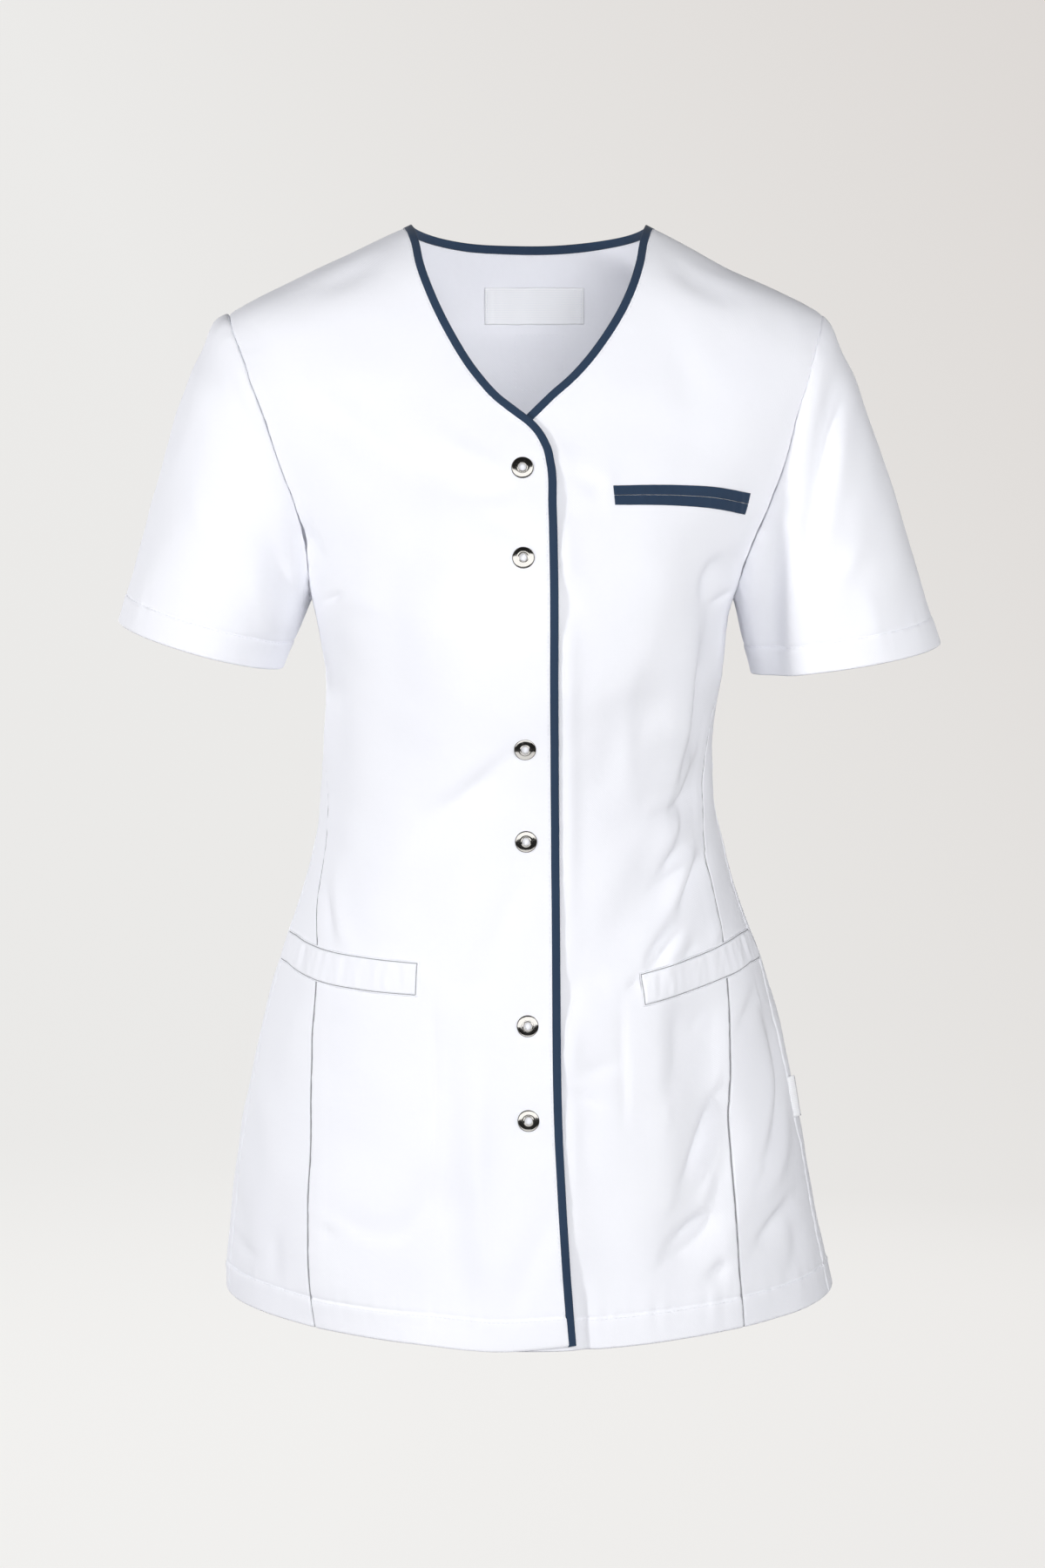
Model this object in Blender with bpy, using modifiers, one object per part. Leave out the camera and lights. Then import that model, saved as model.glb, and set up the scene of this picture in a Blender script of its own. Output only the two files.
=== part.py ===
"""A beautician's tunic: short sleeves, a wrap front closed by six ring snaps, and navy edging.

The tunic has the hollow form that it takes when it is worn. Its torso is one surface of stacked rings,
and every panel, edging and pocket is a region of that surface, given a wall. The origin lies midway
between the two side neck points, where the shoulders carry it. The front faces -Y, and +X is the
wearer's left. Tables are in millimetres, and all other lengths are in metres.
"""
import math
from collections import namedtuple

import bmesh
import bpy
import numpy as np
from mathutils import Vector

MM = 0.001

# Walls and gaps
CLOTH_WALL = 1.5 * MM
EDGING_WALL = 2.0 * MM
TRIM_WALL = 1.2 * MM
LABEL_WALL = 1.0 * MM
SEAM_GAP = 0.45 * MM
SLEEVE_GAP = 0.5 * MM
LAYER_GAP = 0.6 * MM

# Fronts, hem and edging
LAP_LIFT = 2.6 * MM            # how far the right front stands off the left one
EDGING_WIDTH = 5.0 * MM
HEM_Z = -705.5 * MM            # hem at the side seams
HEM_DIP = 12.5 * MM            # how much lower it hangs at the centre front and back
HEM_DIP_START = -600 * MM
NECK_TOP_Z = 0.7 * MM          # free edge of the edging at the side neck points
NECK_BACK_Z = -10.5 * MM       # the same edge at the centre back
NECK_RISE_POWER = 2.0          # how late the back neck rises towards the side neck points

# Armhole: an oval as seen from the side, on the torso surface
ARMHOLE_Z = -150.5 * MM
ARMHOLE_HALF_HEIGHT = 92.5 * MM
ARMHOLE_HALF_WIDTH = 54 * MM
ARMHOLE_ROUNDING = 0.9

# Snaps
CAP_RADIUS = 6.9 * MM
CAP_HEIGHT = 2.0 * MM
CAP_WELL_RADIUS = 2.6 * MM
CAP_WELL_HEIGHT = 1.1 * MM
POST_RADIUS = 5.2 * MM
POST_HEIGHT = 1.4 * MM
POST_WELL_RADIUS = 3.0 * MM
POST_WELL_HEIGHT = 0.8 * MM
SNAP_STEPS = 16

# Labels
NECK_LABEL_LEFT = 38 * MM
NECK_LABEL_RIGHT = -30 * MM
NECK_LABEL_TOP = -37 * MM
NECK_LABEL_BOTTOM = -61 * MM
TAB_TOP = -560 * MM
TAB_BOTTOM = -587 * MM
TAB_REACH = 4.0 * MM

# The torso as stacked rings: each one is a superellipse about (centre, 0), with its own depth to the
# front and to the back.
Section = namedtuple("Section", "z centre half_width front back power")
SECTIONS = [
    Section(5, 0, 68.5, 39, 44, 2.0),
    Section(0, 0, 78.4, 42, 48, 2.0),
    Section(-28, -3.5, 134.5, 56, 68, 2.0),
    Section(-57, -2, 193.5, 68, 84, 2.0),
    Section(-97, 0, 215, 84, 98, 2.0),
    Section(-125, 1, 206.5, 94, 104, 2.0),
    Section(-153, 2, 191.5, 104, 108, 2.0),
    Section(-181, 2, 172, 113, 110, 2.0),
    Section(-204, 0, 156, 120, 110, 2.05),
    Section(-245, -4.3, 138.7, 128, 107, 2.15),
    Section(-291, -3, 130.9, 125, 98, 2.2),
    Section(-338, -7.2, 128.9, 114, 89, 2.2),
    Section(-384, -7.3, 131.5, 108, 89, 2.2),
    Section(-431, -6.4, 142.5, 108, 98, 2.2),
    Section(-478, -5.8, 159.2, 111, 110, 2.2),
    Section(-526, -5, 172.9, 116, 120, 2.2),
    Section(-573, -5, 183.3, 120, 126, 2.15),
    Section(-621, -4.6, 191.9, 124, 130, 2.1),
    Section(-669, -2.6, 199.1, 128, 133, 2.05),
    Section(-708, 0.9, 204.7, 131, 135, 2.0),
]

# Free edges of the two fronts, neck to hem, as seen from the front
FrontEdge = namedtuple("FrontEdge", "z right left")
FRONT_EDGES = [
    FrontEdge(0.7, -76.3, 76.3),
    FrontEdge(-3, -74.6, 75),
    FrontEdge(-9, -72.2, 73),
    FrontEdge(-25, -68.2, 69.4),
    FrontEdge(-45, -60.6, 62.4),
    FrontEdge(-71, -47.5, 47.6),
    FrontEdge(-97, -30.5, 26.2),
    FrontEdge(-110, -18.9, 11.4),
    FrontEdge(-117, -10.1, 4.2),
    FrontEdge(-128, 4.2, -7),
    FrontEdge(-141, 13, -16.5),
    FrontEdge(-154, 16.4, -22),
    FrontEdge(-181, 17.4, -24.5),
    FrontEdge(-311, 18.5, -25),
    FrontEdge(-444, 19.8, -25),
    FrontEdge(-580, 21.6, -25.5),
    FrontEdge(-648, 25.6, -26),
    FrontEdge(-718, 31.3, -26),
]

# Seams below the armholes, by their depth: y of the front seams and of the side seams
Seam = namedtuple("Seam", "z front_right front_left side")
SEAMS = [
    Seam(-243, -3, -3, 17),
    Seam(-290, -8, -14, 11),
    Seam(-338, -24, -29, 0),
    Seam(-372, -38, -38, -7),
    Seam(-404, -43, -49, -13),
    Seam(-435, -49, -55, -18),
    Seam(-468, -64, -62, -22),
    Seam(-530, -78, -77, -25),
    Seam(-600, -87.5, -86, -26),
    Seam(-708, -96, -96, -26),
]

# Rows of the panels. Below the armhole all panels share LOW_LEVELS. Above it, each row of a front runs
# from a level on its free edge to a turn around the armhole, in degrees from the shoulder point.
LOW_LEVELS = [-705.5, -686, -664, -640, -616, -592, -568, -544, -520, -496,
              -472, -448, -424, -400, -376, -352, -328, -304, -281, -261]
UpperRow = namedtuple("UpperRow", "edge_z front_turn back_turn")
UPPER_ROWS = [
    UpperRow(-238, 177, 197),
    UpperRow(-212, 160, 210),
    UpperRow(-188, 142, 223),
    UpperRow(-168, 125, 236),
    UpperRow(-152, 109, 249),
    UpperRow(-140, 94, 262),
    UpperRow(-130, 80, 275),
    UpperRow(-120, 66, 288),
    UpperRow(-104, 53, 301),
    UpperRow(-82, 41, 314),
    UpperRow(-56, 30, 327),
    UpperRow(-30, 20, 338),
    UpperRow(-12, 11.5, 348),
    UpperRow(-3, 5, 355),
    UpperRow(0.7, 0, 360),
]
FRONT_COLUMNS = 10
SIDE_COLUMNS = 3
SHOULDER_COLUMNS = 8
NECK_COLUMNS = 14

# Sleeves: ends of the cuff as seen from the front, for the wearer's right and left arm. The fall is the
# angle below level at which the cloth leaves the armhole, and the pulls say how far each end of the loft
# keeps its direction, as shares of its length.
Sleeve = namedtuple("Sleeve", "side outer_x outer_z inner_x inner_z depth drop head_fall head_pull hem_pull")
SLEEVES = [
    Sleeve("right", -271.2, -258, -163, -289, 55, 3, -6, 0.34, 1.15),
    Sleeve("left", 272, -272.9, 147.4, -292.6, 57, 3, 40, 0.35, 0.65),
]
UNDERARM_FALL = 72
UNDERARM_PULL = 1.0
SLEEVE_HANG = 18               # degrees that the arm stands off the vertical
SLEEVE_ROWS = 8

# Pocket edges: top and bottom of the welt at each x
PocketEdge = namedtuple("PocketEdge", "x top bottom")
CHEST_POCKET = [
    PocketEdge(53.8, -167.1, -179.1),
    PocketEdge(73, -166.7, -179.2),
    PocketEdge(95, -166.8, -179.9),
    PocketEdge(118, -168.1, -181.9),
    PocketEdge(141.8, -172.3, -186),
]
CHEST_SLIT = 1.0 * MM
HIP_POCKET_RIGHT = [
    PocketEdge(-72, -471.4, -491.7),
    PocketEdge(-107, -469.9, -490.5),
    PocketEdge(-138, -467.3, -487.3),
    PocketEdge(-152, -464.6, -483.5),
    PocketEdge(-158, -463, -481),
]
HIP_POCKET_LEFT = [
    PocketEdge(73.4, -479, -498.5),
    PocketEdge(97, -474, -493.6),
    PocketEdge(127, -466.6, -486.4),
    PocketEdge(137, -463.9, -484),
    PocketEdge(146.5, -461.5, -480.5),
]
POCKET_COLUMNS = 14

# Snap centres, as seen from the front
Snap = namedtuple("Snap", "x z")
SNAPS = [
    Snap(-4.1, -156.3),
    Snap(-3.5, -212),
    Snap(-2.4, -332),
    Snap(-1.8, -392),
    Snap(-0.7, -510),
    Snap(-0.2, -570),
]

# Largest folds, each along a line as seen from the front or from behind. A negative height is a trough.
Fold = namedtuple("Fold", "face from_x from_z to_x to_z width height")
FOLDS = [
    Fold("front", -160, -95, -70, -170, 20, -3.0),
    Fold("front", -10, -345, -75, -395, 14, -2.5),
    Fold("front", 95, -330, 60, -395, 15, -3.0),
    Fold("front", 100, -385, 45, -470, 15, -2.5),
    Fold("front", 25, -560, 55, -690, 20, -3.0),
    Fold("front", -15, -590, -45, -700, 22, -2.5),
    Fold("front", -95, -600, -105, -700, 24, 2.5),
    Fold("front", 135, -560, 95, -680, 20, -3.0),
    Fold("back", -95, -330, -20, -375, 16, -3.0),
    Fold("back", 100, -345, 25, -400, 16, -3.0),
    Fold("back", -60, -560, -75, -700, 24, -3.5),
    Fold("back", 50, -540, 70, -700, 24, -3.5),
    Fold("back", 120, -90, 70, -180, 20, -3.0),
    Fold("back", -125, -95, -80, -175, 20, -3.0),
]

WHITE = (0.93, 0.935, 0.96, 1.0)
NAVY = (0.024, 0.045, 0.095, 1.0)
CHROME = (0.62, 0.62, 0.64, 1.0)


def smooth_step(value, start, end):
    """0 at start, 1 at end, smooth between."""
    t = np.clip((value - start) / (end - start), 0, 1)
    return t * t * (3 - 2 * t)


def curve_through(knots, values):
    """A smooth function through a table's rows, of metres, from its millimetres."""
    order = np.argsort(knots)
    knots = np.asarray(knots, float)[order] * MM
    values = np.asarray(values, float)[order]
    slopes = np.gradient(values, knots)

    def value(at):
        at = np.clip(at, knots[0], knots[-1])
        i = np.clip(np.searchsorted(knots, at) - 1, 0, len(knots) - 2)
        step = knots[i + 1] - knots[i]
        t = (at - knots[i]) / step
        start = (1 + 2 * t) * (1 - t) ** 2 * values[i] + t * (1 - t) ** 2 * step * slopes[i]
        end = t * t * (3 - 2 * t) * values[i + 1] + t * t * (t - 1) * step * slopes[i + 1]
        return start + end
    return value


def table_curve(table, key, name, scale=MM):
    """One column of a table as a smooth function of another."""
    return curve_through([getattr(row, key) for row in table], [getattr(row, name) * scale for row in table])


ring_centre = table_curve(SECTIONS, "z", "centre")
ring_half_width = table_curve(SECTIONS, "z", "half_width")
ring_front = table_curve(SECTIONS, "z", "front")
ring_back = table_curve(SECTIONS, "z", "back")
ring_power = table_curve(SECTIONS, "z", "power", scale=1)


def ring_point(angle, z):
    """A point of the plain torso. The angle is 0 at the centre front and grows towards +X."""
    angle, z = np.broadcast_arrays(np.asarray(angle, float), np.asarray(z, float))
    power = ring_power(z)
    depth = np.where(np.cos(angle) > 0, ring_front(z), ring_back(z))
    across = np.abs(np.sin(angle) / ring_half_width(z)) ** power
    along = np.abs(np.cos(angle) / depth) ** power
    radius = (across + along) ** (-1 / power) - CLOTH_WALL / 2
    return np.stack([ring_centre(z) + radius * np.sin(angle), -radius * np.cos(angle), z], axis=-1)


def angle_of(point):
    """The ring angle of a point of the torso."""
    return np.arctan2(point[..., 0] - ring_centre(point[..., 2]), -point[..., 1])


def angle_at_x(x, z, facing="front"):
    """The ring angle where the torso's front, or its back, has this x."""
    half = ring_half_width(z)
    across = np.clip(np.abs(x - ring_centre(z)) / half, 0, 1)
    depth = ring_front(z) if facing == "front" else -ring_back(z)
    y = -depth * (1 - across ** ring_power(z)) ** (1 / ring_power(z))
    return np.arctan2(x - ring_centre(z), -y)


def angle_at_y(y, z, side):
    """The ring angle where the torso has this y, on the side +1 or -1 of X."""
    depth = np.where(y < 0, ring_front(z), ring_back(z))
    across = ring_half_width(z) * (1 - np.abs(y / depth) ** ring_power(z)) ** (1 / ring_power(z))
    return np.arctan2(side * across, -y)


def fold_height(x, z, facing):
    """How far the folds of one face move the cloth outwards; facing is +1 in front and -1 behind."""
    height = np.zeros_like(x)
    for fold in FOLDS:
        start = np.array([fold.from_x, fold.from_z]) * MM
        line = np.array([fold.to_x, fold.to_z]) * MM - start
        along = ((x - start[0]) * line[0] + (z - start[1]) * line[1]) / (line @ line)
        off_line = np.hypot(x - start[0] - along * line[0], z - start[1] - along * line[1])
        taper = smooth_step(along, -0.15, 0.3) * smooth_step(along, 1.15, 0.7)
        seen = smooth_step(facing * (1 if fold.face == "front" else -1), 0.1, 0.5)
        height = height + fold.height * MM * taper * seen * np.exp(-(off_line / (fold.width * MM)) ** 2)
    return height


def lap_lift(x, z):
    """How far the right front stands off the left one, where it laps over it."""
    return LAP_LIFT * smooth_step(x, -75 * MM, -36 * MM) * smooth_step(z, -75 * MM, -112 * MM)


def torso_point(angle, z, over=False, offset=0.0):
    """A point of the draped torso, with its hem and folds, moved outwards by the offset."""
    plain = ring_point(angle, z)
    cosine = np.cos(angle)
    out = offset + fold_height(plain[..., 0], plain[..., 2], cosine)
    if over:
        out = out + lap_lift(plain[..., 0], plain[..., 2])
    dip = HEM_DIP * np.abs(cosine) ** 1.5 * smooth_step(plain[..., 2], HEM_DIP_START, HEM_Z)
    down = np.array([0.0, 0.0, 1.0]) * np.asarray(dip)[..., None]
    return plain + ring_normal(angle, z) * np.asarray(out)[..., None] - down


def ring_normal(angle, z):
    """The outward normal of the plain torso."""
    small_turn, small_drop = 0.002, 0.5 * MM
    around = ring_point(np.add(angle, small_turn), z) - ring_point(np.subtract(angle, small_turn), z)
    upward = ring_point(angle, np.add(z, small_drop)) - ring_point(angle, np.subtract(z, small_drop))
    normal = np.cross(around, upward)
    return normal / np.linalg.norm(normal, axis=-1, keepdims=True)


def armhole_point(turn, side):
    """A point of the armhole: 0 degrees is the shoulder point, 90 the front and 180 the underarm."""
    turn = np.radians(turn)
    sine = np.sin(turn)
    y = -ARMHOLE_HALF_WIDTH * np.sign(sine) * np.abs(sine) ** ARMHOLE_ROUNDING
    z = ARMHOLE_Z + ARMHOLE_HALF_HEIGHT * np.cos(turn)
    return angle_at_y(y, z, side), z


def move_in(points, axis, end):
    """Moves one edge of a grid of points in by half a seam gap, square to that edge."""
    grid = points if axis == 0 else points.swapaxes(0, 1)
    edge, inner = (0, 1) if end == "first" else (-1, -2)
    towards = grid[inner] - grid[edge]
    along = np.gradient(grid[edge], axis=0)
    along /= np.linalg.norm(along, axis=-1, keepdims=True)
    towards -= along * np.sum(towards * along, axis=-1, keepdims=True)
    towards /= np.linalg.norm(towards, axis=-1, keepdims=True)
    grid[edge] += towards * SEAM_GAP / 2


def edge_lines(angle, z, towards, shoulders):
    """Ring angles and heights of the two edges of the edging and of the cloth, from its free edge.

    The rows named as shoulders lie on a shoulder seam, and their lines run down it.
    """
    free = ring_point(angle, z)
    along = np.gradient(free, axis=0)
    across = np.cross(ring_normal(angle, z), along)
    across[shoulders] = (ring_point(angle, z - MM) - free)[shoulders]
    across /= np.linalg.norm(across, axis=-1, keepdims=True)
    across *= np.sign(np.sum(across * towards, axis=-1, keepdims=True))
    lines = [(angle, z)]
    for distance in (EDGING_WIDTH, EDGING_WIDTH + SEAM_GAP):
        moved = free + across * distance
        lines.append((angle_of(moved), moved[..., 2]))
    return lines


def front_lines(side):
    """The free, sewn and cloth edge of one front's edging, row by row from hem to neck."""
    z = np.array(LOW_LEVELS + [row.edge_z for row in UPPER_ROWS]) * MM
    x = table_curve(FRONT_EDGES, "z", "right" if side < 0 else "left")(z)
    angle = angle_at_x(x, z)
    angle[-1] = side * math.pi / 2
    return edge_lines(angle, z, np.array([side, 0.0, -0.4]), [-1])


def back_neck_lines():
    """The same three edges for the back neck, from the wearer's left shoulder to the right one."""
    angle = np.linspace(math.pi / 2, 3 * math.pi / 2, NECK_COLUMNS + 1)
    across = np.abs(ring_point(angle, NECK_BACK_Z)[:, 0])
    rise = (across / across.max()) ** NECK_RISE_POWER
    z = NECK_BACK_Z + (NECK_TOP_Z - NECK_BACK_Z) * rise
    lines = edge_lines(angle, z, np.array([0.0, 0.0, -1.0]), [0, -1])
    return [(np.mod(line_angle, 2 * math.pi), line_z) for line_angle, line_z in lines]


def seam_edge(side, name, turns):
    """A front or side seam from the hem up, then on around the armhole by the given turns."""
    low_z = np.array(LOW_LEVELS) * MM
    low_angle = angle_at_y(table_curve(SEAMS, "z", name)(low_z), low_z, side)
    high_angle, high_z = armhole_point(np.array(turns, float), side)
    return np.concatenate([low_angle, high_angle]), np.concatenate([low_z, high_z])


def front_name(side):
    return "front_right" if side < 0 else "front_left"


def front_panel(side):
    """One front, ruled between its cloth edge and its front seam, armhole and shoulder."""
    inner_angle, inner_z = front_lines(side)[2]
    outer_angle, outer_z = seam_edge(side, front_name(side), [row.front_turn for row in UPPER_ROWS])
    u = np.linspace(0, 1, FRONT_COLUMNS + 1)
    angle = inner_angle[:, None] * (1 - u) + outer_angle[:, None] * u
    z = inner_z[:, None] * (1 - u) + outer_z[:, None] * u
    points = torso_point(angle, z, over=side < 0)
    move_in(points, 1, "last")
    move_in(points, 0, "last")
    return points


def side_panel(side):
    """The narrow panel between the front seam and the side seam."""
    first, last = UPPER_ROWS[0].front_turn, UPPER_ROWS[0].back_turn
    front_angle, front_z = seam_edge(side, front_name(side), [first])
    side_angle, side_z = seam_edge(side, "side", [last])
    u = np.linspace(0, 1, SIDE_COLUMNS + 1)
    angle = front_angle[:, None] * (1 - u) + side_angle[:, None] * u
    z = front_z[:, None] * (1 - u) + side_z[:, None] * u
    angle[-1], z[-1] = armhole_point(first + (last - first) * u, side)
    points = torso_point(angle, z)
    move_in(points, 1, "first")
    move_in(points, 1, "last")
    move_in(points, 0, "last")
    return points


def back_panel():
    """The back, blended from its four edges: hem, two sides, and shoulders with the neck."""
    turns = [row.back_turn for row in UPPER_ROWS]
    left_angle, left_z = seam_edge(1, "side", turns)
    right_angle, right_z = seam_edge(-1, "side", turns)
    left = np.stack([left_angle, left_z], axis=-1)
    right = np.stack([np.mod(right_angle, 2 * math.pi), right_z], axis=-1)
    neck = np.stack(back_neck_lines()[2], axis=-1)
    steps = np.linspace(0, 1, SHOULDER_COLUMNS + 1)[:-1, None]
    left_shoulder = left[-1] * (1 - steps) + neck[0] * steps
    right_shoulder = (right[-1] * (1 - steps) + neck[-1] * steps)[::-1]
    top = np.concatenate([left_shoulder, neck, right_shoulder])
    u = np.linspace(0, 1, len(top))[None, :, None]
    v = np.linspace(0, 1, len(left))[:, None, None]
    hem = left[0] * (1 - u) + right[0] * u
    corners = (left[0] * (1 - u) + right[0] * u) * (1 - v) + (left[-1] * (1 - u) + right[-1] * u) * v
    blend = hem * (1 - v) + top[None] * v + left[:, None] * (1 - u) + right[:, None] * u - corners
    points = torso_point(blend[..., 0], blend[..., 1])
    move_in(points, 1, "first")
    move_in(points, 1, "last")
    shoulders = np.r_[0:SHOULDER_COLUMNS + 1, len(top) - SHOULDER_COLUMNS - 1:len(top)]
    for half in (shoulders[:SHOULDER_COLUMNS + 1], shoulders[SHOULDER_COLUMNS + 1:]):
        strip = points[:, half]
        move_in(strip, 0, "last")
        points[:, half] = strip
    return points


def sleeve(size):
    """The outer face of a set-in sleeve, lofted from the armhole to the cuff."""
    side = -1 if size.side == "right" else 1
    first, last = UPPER_ROWS[0].front_turn, UPPER_ROWS[0].back_turn
    front = [row.front_turn for row in reversed(UPPER_ROWS)]
    under = list(np.linspace(first, last, SIDE_COLUMNS + 1))[1:-1]
    turns = np.array(front + under + [row.back_turn for row in UPPER_ROWS], float)[::side]
    cosine, sine = np.cos(np.radians(turns)), np.sin(np.radians(turns))
    angle, z = armhole_point(turns, side)
    start = torso_point(angle, z, offset=CLOTH_WALL / 2)
    outer = np.array([size.outer_x, 0, size.outer_z]) * MM
    inner = np.array([size.inner_x, 0, size.inner_z]) * MM
    towards_front = np.array([0, -size.depth, -size.drop]) * MM
    end = (outer + inner) / 2 + (outer - inner) / 2 * cosine[:, None] + towards_front * sine[:, None]
    head = (1 + cosine) / 2
    fall = np.radians(size.head_fall * head + UNDERARM_FALL * (1 - head))
    leave = np.stack([side * np.cos(fall), -0.25 * sine, -np.sin(fall)], axis=-1)
    leave /= np.linalg.norm(leave, axis=-1, keepdims=True)
    out = leave + ring_normal(angle, z)
    out /= np.linalg.norm(out, axis=-1, keepdims=True)
    start = start + out * SLEEVE_GAP
    reach = np.linalg.norm(end - start, axis=-1)
    leave = leave * (reach * (size.head_pull * head + UNDERARM_PULL * (1 - head)))[:, None]
    hang = math.radians(SLEEVE_HANG)
    arrive = np.array([side * math.sin(hang), 0, -math.cos(hang)])
    arrive = arrive * (reach * (size.hem_pull * head + UNDERARM_PULL * (1 - head)))[:, None]
    t = np.linspace(0, 1, SLEEVE_ROWS + 1)[:, None, None]
    upper = (1 + 2 * t) * (1 - t) ** 2 * start + t * (1 - t) ** 2 * leave
    return upper + t * t * (3 - 2 * t) * end + t * t * (t - 1) * arrive


def edging(lines, ends, over=False):
    """The edging along one edge: a folded strip beside the cloth, parted from the next at its ends."""
    free, sewn = lines[:2]
    angle = np.stack([free[0], sewn[0]], axis=-1)
    z = np.stack([free[1], sewn[1]], axis=-1)
    points = torso_point(angle, z, over=over)
    for end in ends:
        move_in(points, 0, end)
    return points


def pocket_strip(table, top_share, bottom_share, side=0):
    """A strip on the cloth between two shares of a pocket's height, 0 at its top and 1 at its bottom.

    With a side, its outer end is caught in that side seam.
    """
    middle = (table[0].top + table[0].bottom) / 2 * MM
    inner, outer = angle_at_x(np.array([table[0].x, table[-1].x]) * MM, middle)
    if side:
        seam_y = table_curve(SEAMS, "z", "side")(middle) - SEAM_GAP
        outer = angle_at_y(seam_y, middle, side)
    angle = np.linspace(inner, outer, POCKET_COLUMNS + 1)
    x = ring_point(angle, middle)[:, 0]
    top, bottom = table_curve(table, "x", "top")(x), table_curve(table, "x", "bottom")(x)
    shares = np.array([[top_share], [bottom_share]])
    z = top * (1 - shares) + bottom * shares
    offset = CLOTH_WALL / 2 + LAYER_GAP + TRIM_WALL / 2
    return torso_point(angle[None, :], z, offset=offset)


def neck_label():
    """The woven label, on the inner face of the back."""
    x = np.linspace(NECK_LABEL_LEFT, NECK_LABEL_RIGHT, 5)[None, :]
    z = np.linspace(NECK_LABEL_TOP, NECK_LABEL_BOTTOM, 3)[:, None]
    inward = -(CLOTH_WALL / 2 + LAYER_GAP + LABEL_WALL / 2)
    return torso_point(angle_at_x(x, z, "back"), z, offset=inward)


def side_tab():
    """The small label that stands out of the left side seam."""
    z = np.linspace(TAB_TOP, TAB_BOTTOM, 3)[:, None]
    angle = angle_at_y(table_curve(SEAMS, "z", "side")(z), z, 1)
    reach = CLOTH_WALL / 2 + LAYER_GAP + np.array([0, TAB_REACH])[None, :]
    return torso_point(angle, z, offset=reach)


def material(name, colour, roughness, metallic=0.0):
    """A plain Principled material."""
    made = bpy.data.materials.new(name)
    made.use_nodes = True
    surface = made.node_tree.nodes["Principled BSDF"]
    surface.inputs["Base Color"].default_value = colour
    surface.inputs["Roughness"].default_value = roughness
    surface.inputs["Metallic"].default_value = metallic
    return made


def place(name, mesh, collection, surface):
    """Links a mesh as a named object with its material."""
    mesh.materials.append(surface)
    made = bpy.data.objects.new(name, mesh)
    collection.objects.link(made)
    return made


def sheet(name, points, wall, collection, surface, tube=False):
    """A cloth piece: a grid laid over rows and columns of points, with a wall about its middle.

    A tube's two ends join, and its points lie on its outer face.
    """
    rows, columns = points.shape[:2]
    shape = bmesh.new()
    bmesh.ops.create_grid(shape, x_segments=columns - 1, y_segments=rows - 1, size=1.0)
    for vertex in shape.verts:
        column = round((vertex.co.x + 1) / 2 * (columns - 1))
        row = round((vertex.co.y + 1) / 2 * (rows - 1))
        vertex.co = Vector(points[row, column])
    if tube:
        bmesh.ops.remove_doubles(shape, verts=shape.verts, dist=0.01 * MM)
    mesh = bpy.data.meshes.new(name)
    shape.to_mesh(mesh)
    shape.free()
    mesh.shade_smooth()
    made = place(name, mesh, collection, surface)
    shell = made.modifiers.new("Wall", "SOLIDIFY")
    shell.thickness = wall
    shell.offset = -1.0 if tube else 0.0
    return made


def turned_disc(name, profile, collection, surface):
    """A turned piece: its profile, from the axis out and down, spun by a Screw modifier."""
    mesh = bpy.data.meshes.new(name)
    corners = [(radius, 0.0, height) for radius, height in profile]
    mesh.from_pydata(corners, [(i, i + 1) for i in range(len(corners) - 1)], [])
    made = place(name, mesh, collection, surface)
    spin = made.modifiers.new("Turn", "SCREW")
    spin.steps = SNAP_STEPS
    spin.render_steps = SNAP_STEPS
    spin.use_merge_vertices = True
    spin.merge_threshold = 0.02 * MM
    return made


def seat_on_torso(made, snap, offset, over, outward):
    """Stands a turned piece on the torso at a snap, its axis along the surface's normal."""
    x, z = snap.x * MM, snap.z * MM
    angle = float(angle_at_x(x, z))
    normal = Vector(ring_normal(angle, z)) * (1 if outward else -1)
    made.location = Vector(torso_point(angle, z, over=over, offset=offset))
    made.rotation_euler = normal.to_track_quat("Z", "Y").to_euler()


def cap_profile():
    return [(0, CAP_WELL_HEIGHT), (CAP_WELL_RADIUS, CAP_WELL_HEIGHT),
            (CAP_WELL_RADIUS + 0.4 * MM, CAP_HEIGHT), (CAP_RADIUS - 0.9 * MM, CAP_HEIGHT),
            (CAP_RADIUS, CAP_HEIGHT / 2), (CAP_RADIUS, 0), (0, 0)]


def post_profile():
    return [(0, POST_WELL_HEIGHT), (POST_WELL_RADIUS, POST_WELL_HEIGHT),
            (POST_WELL_RADIUS + 0.4 * MM, POST_HEIGHT), (POST_RADIUS - 0.6 * MM, POST_HEIGHT),
            (POST_RADIUS, POST_HEIGHT / 2), (POST_RADIUS, 0), (0, 0)]


def make_snaps(collection, metal):
    """Six caps on the right front, and six posts inside the left front."""
    for number, snap in enumerate(SNAPS, start=1):
        cap = turned_disc(f"snap_cap_{number}", cap_profile(), collection, metal)
        seat_on_torso(cap, snap, CLOTH_WALL / 2 + LAYER_GAP, over=True, outward=True)
        post = turned_disc(f"snap_post_{number}", post_profile(), collection, metal)
        seat_on_torso(post, snap, -CLOTH_WALL / 2 - LAYER_GAP, over=False, outward=False)


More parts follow.
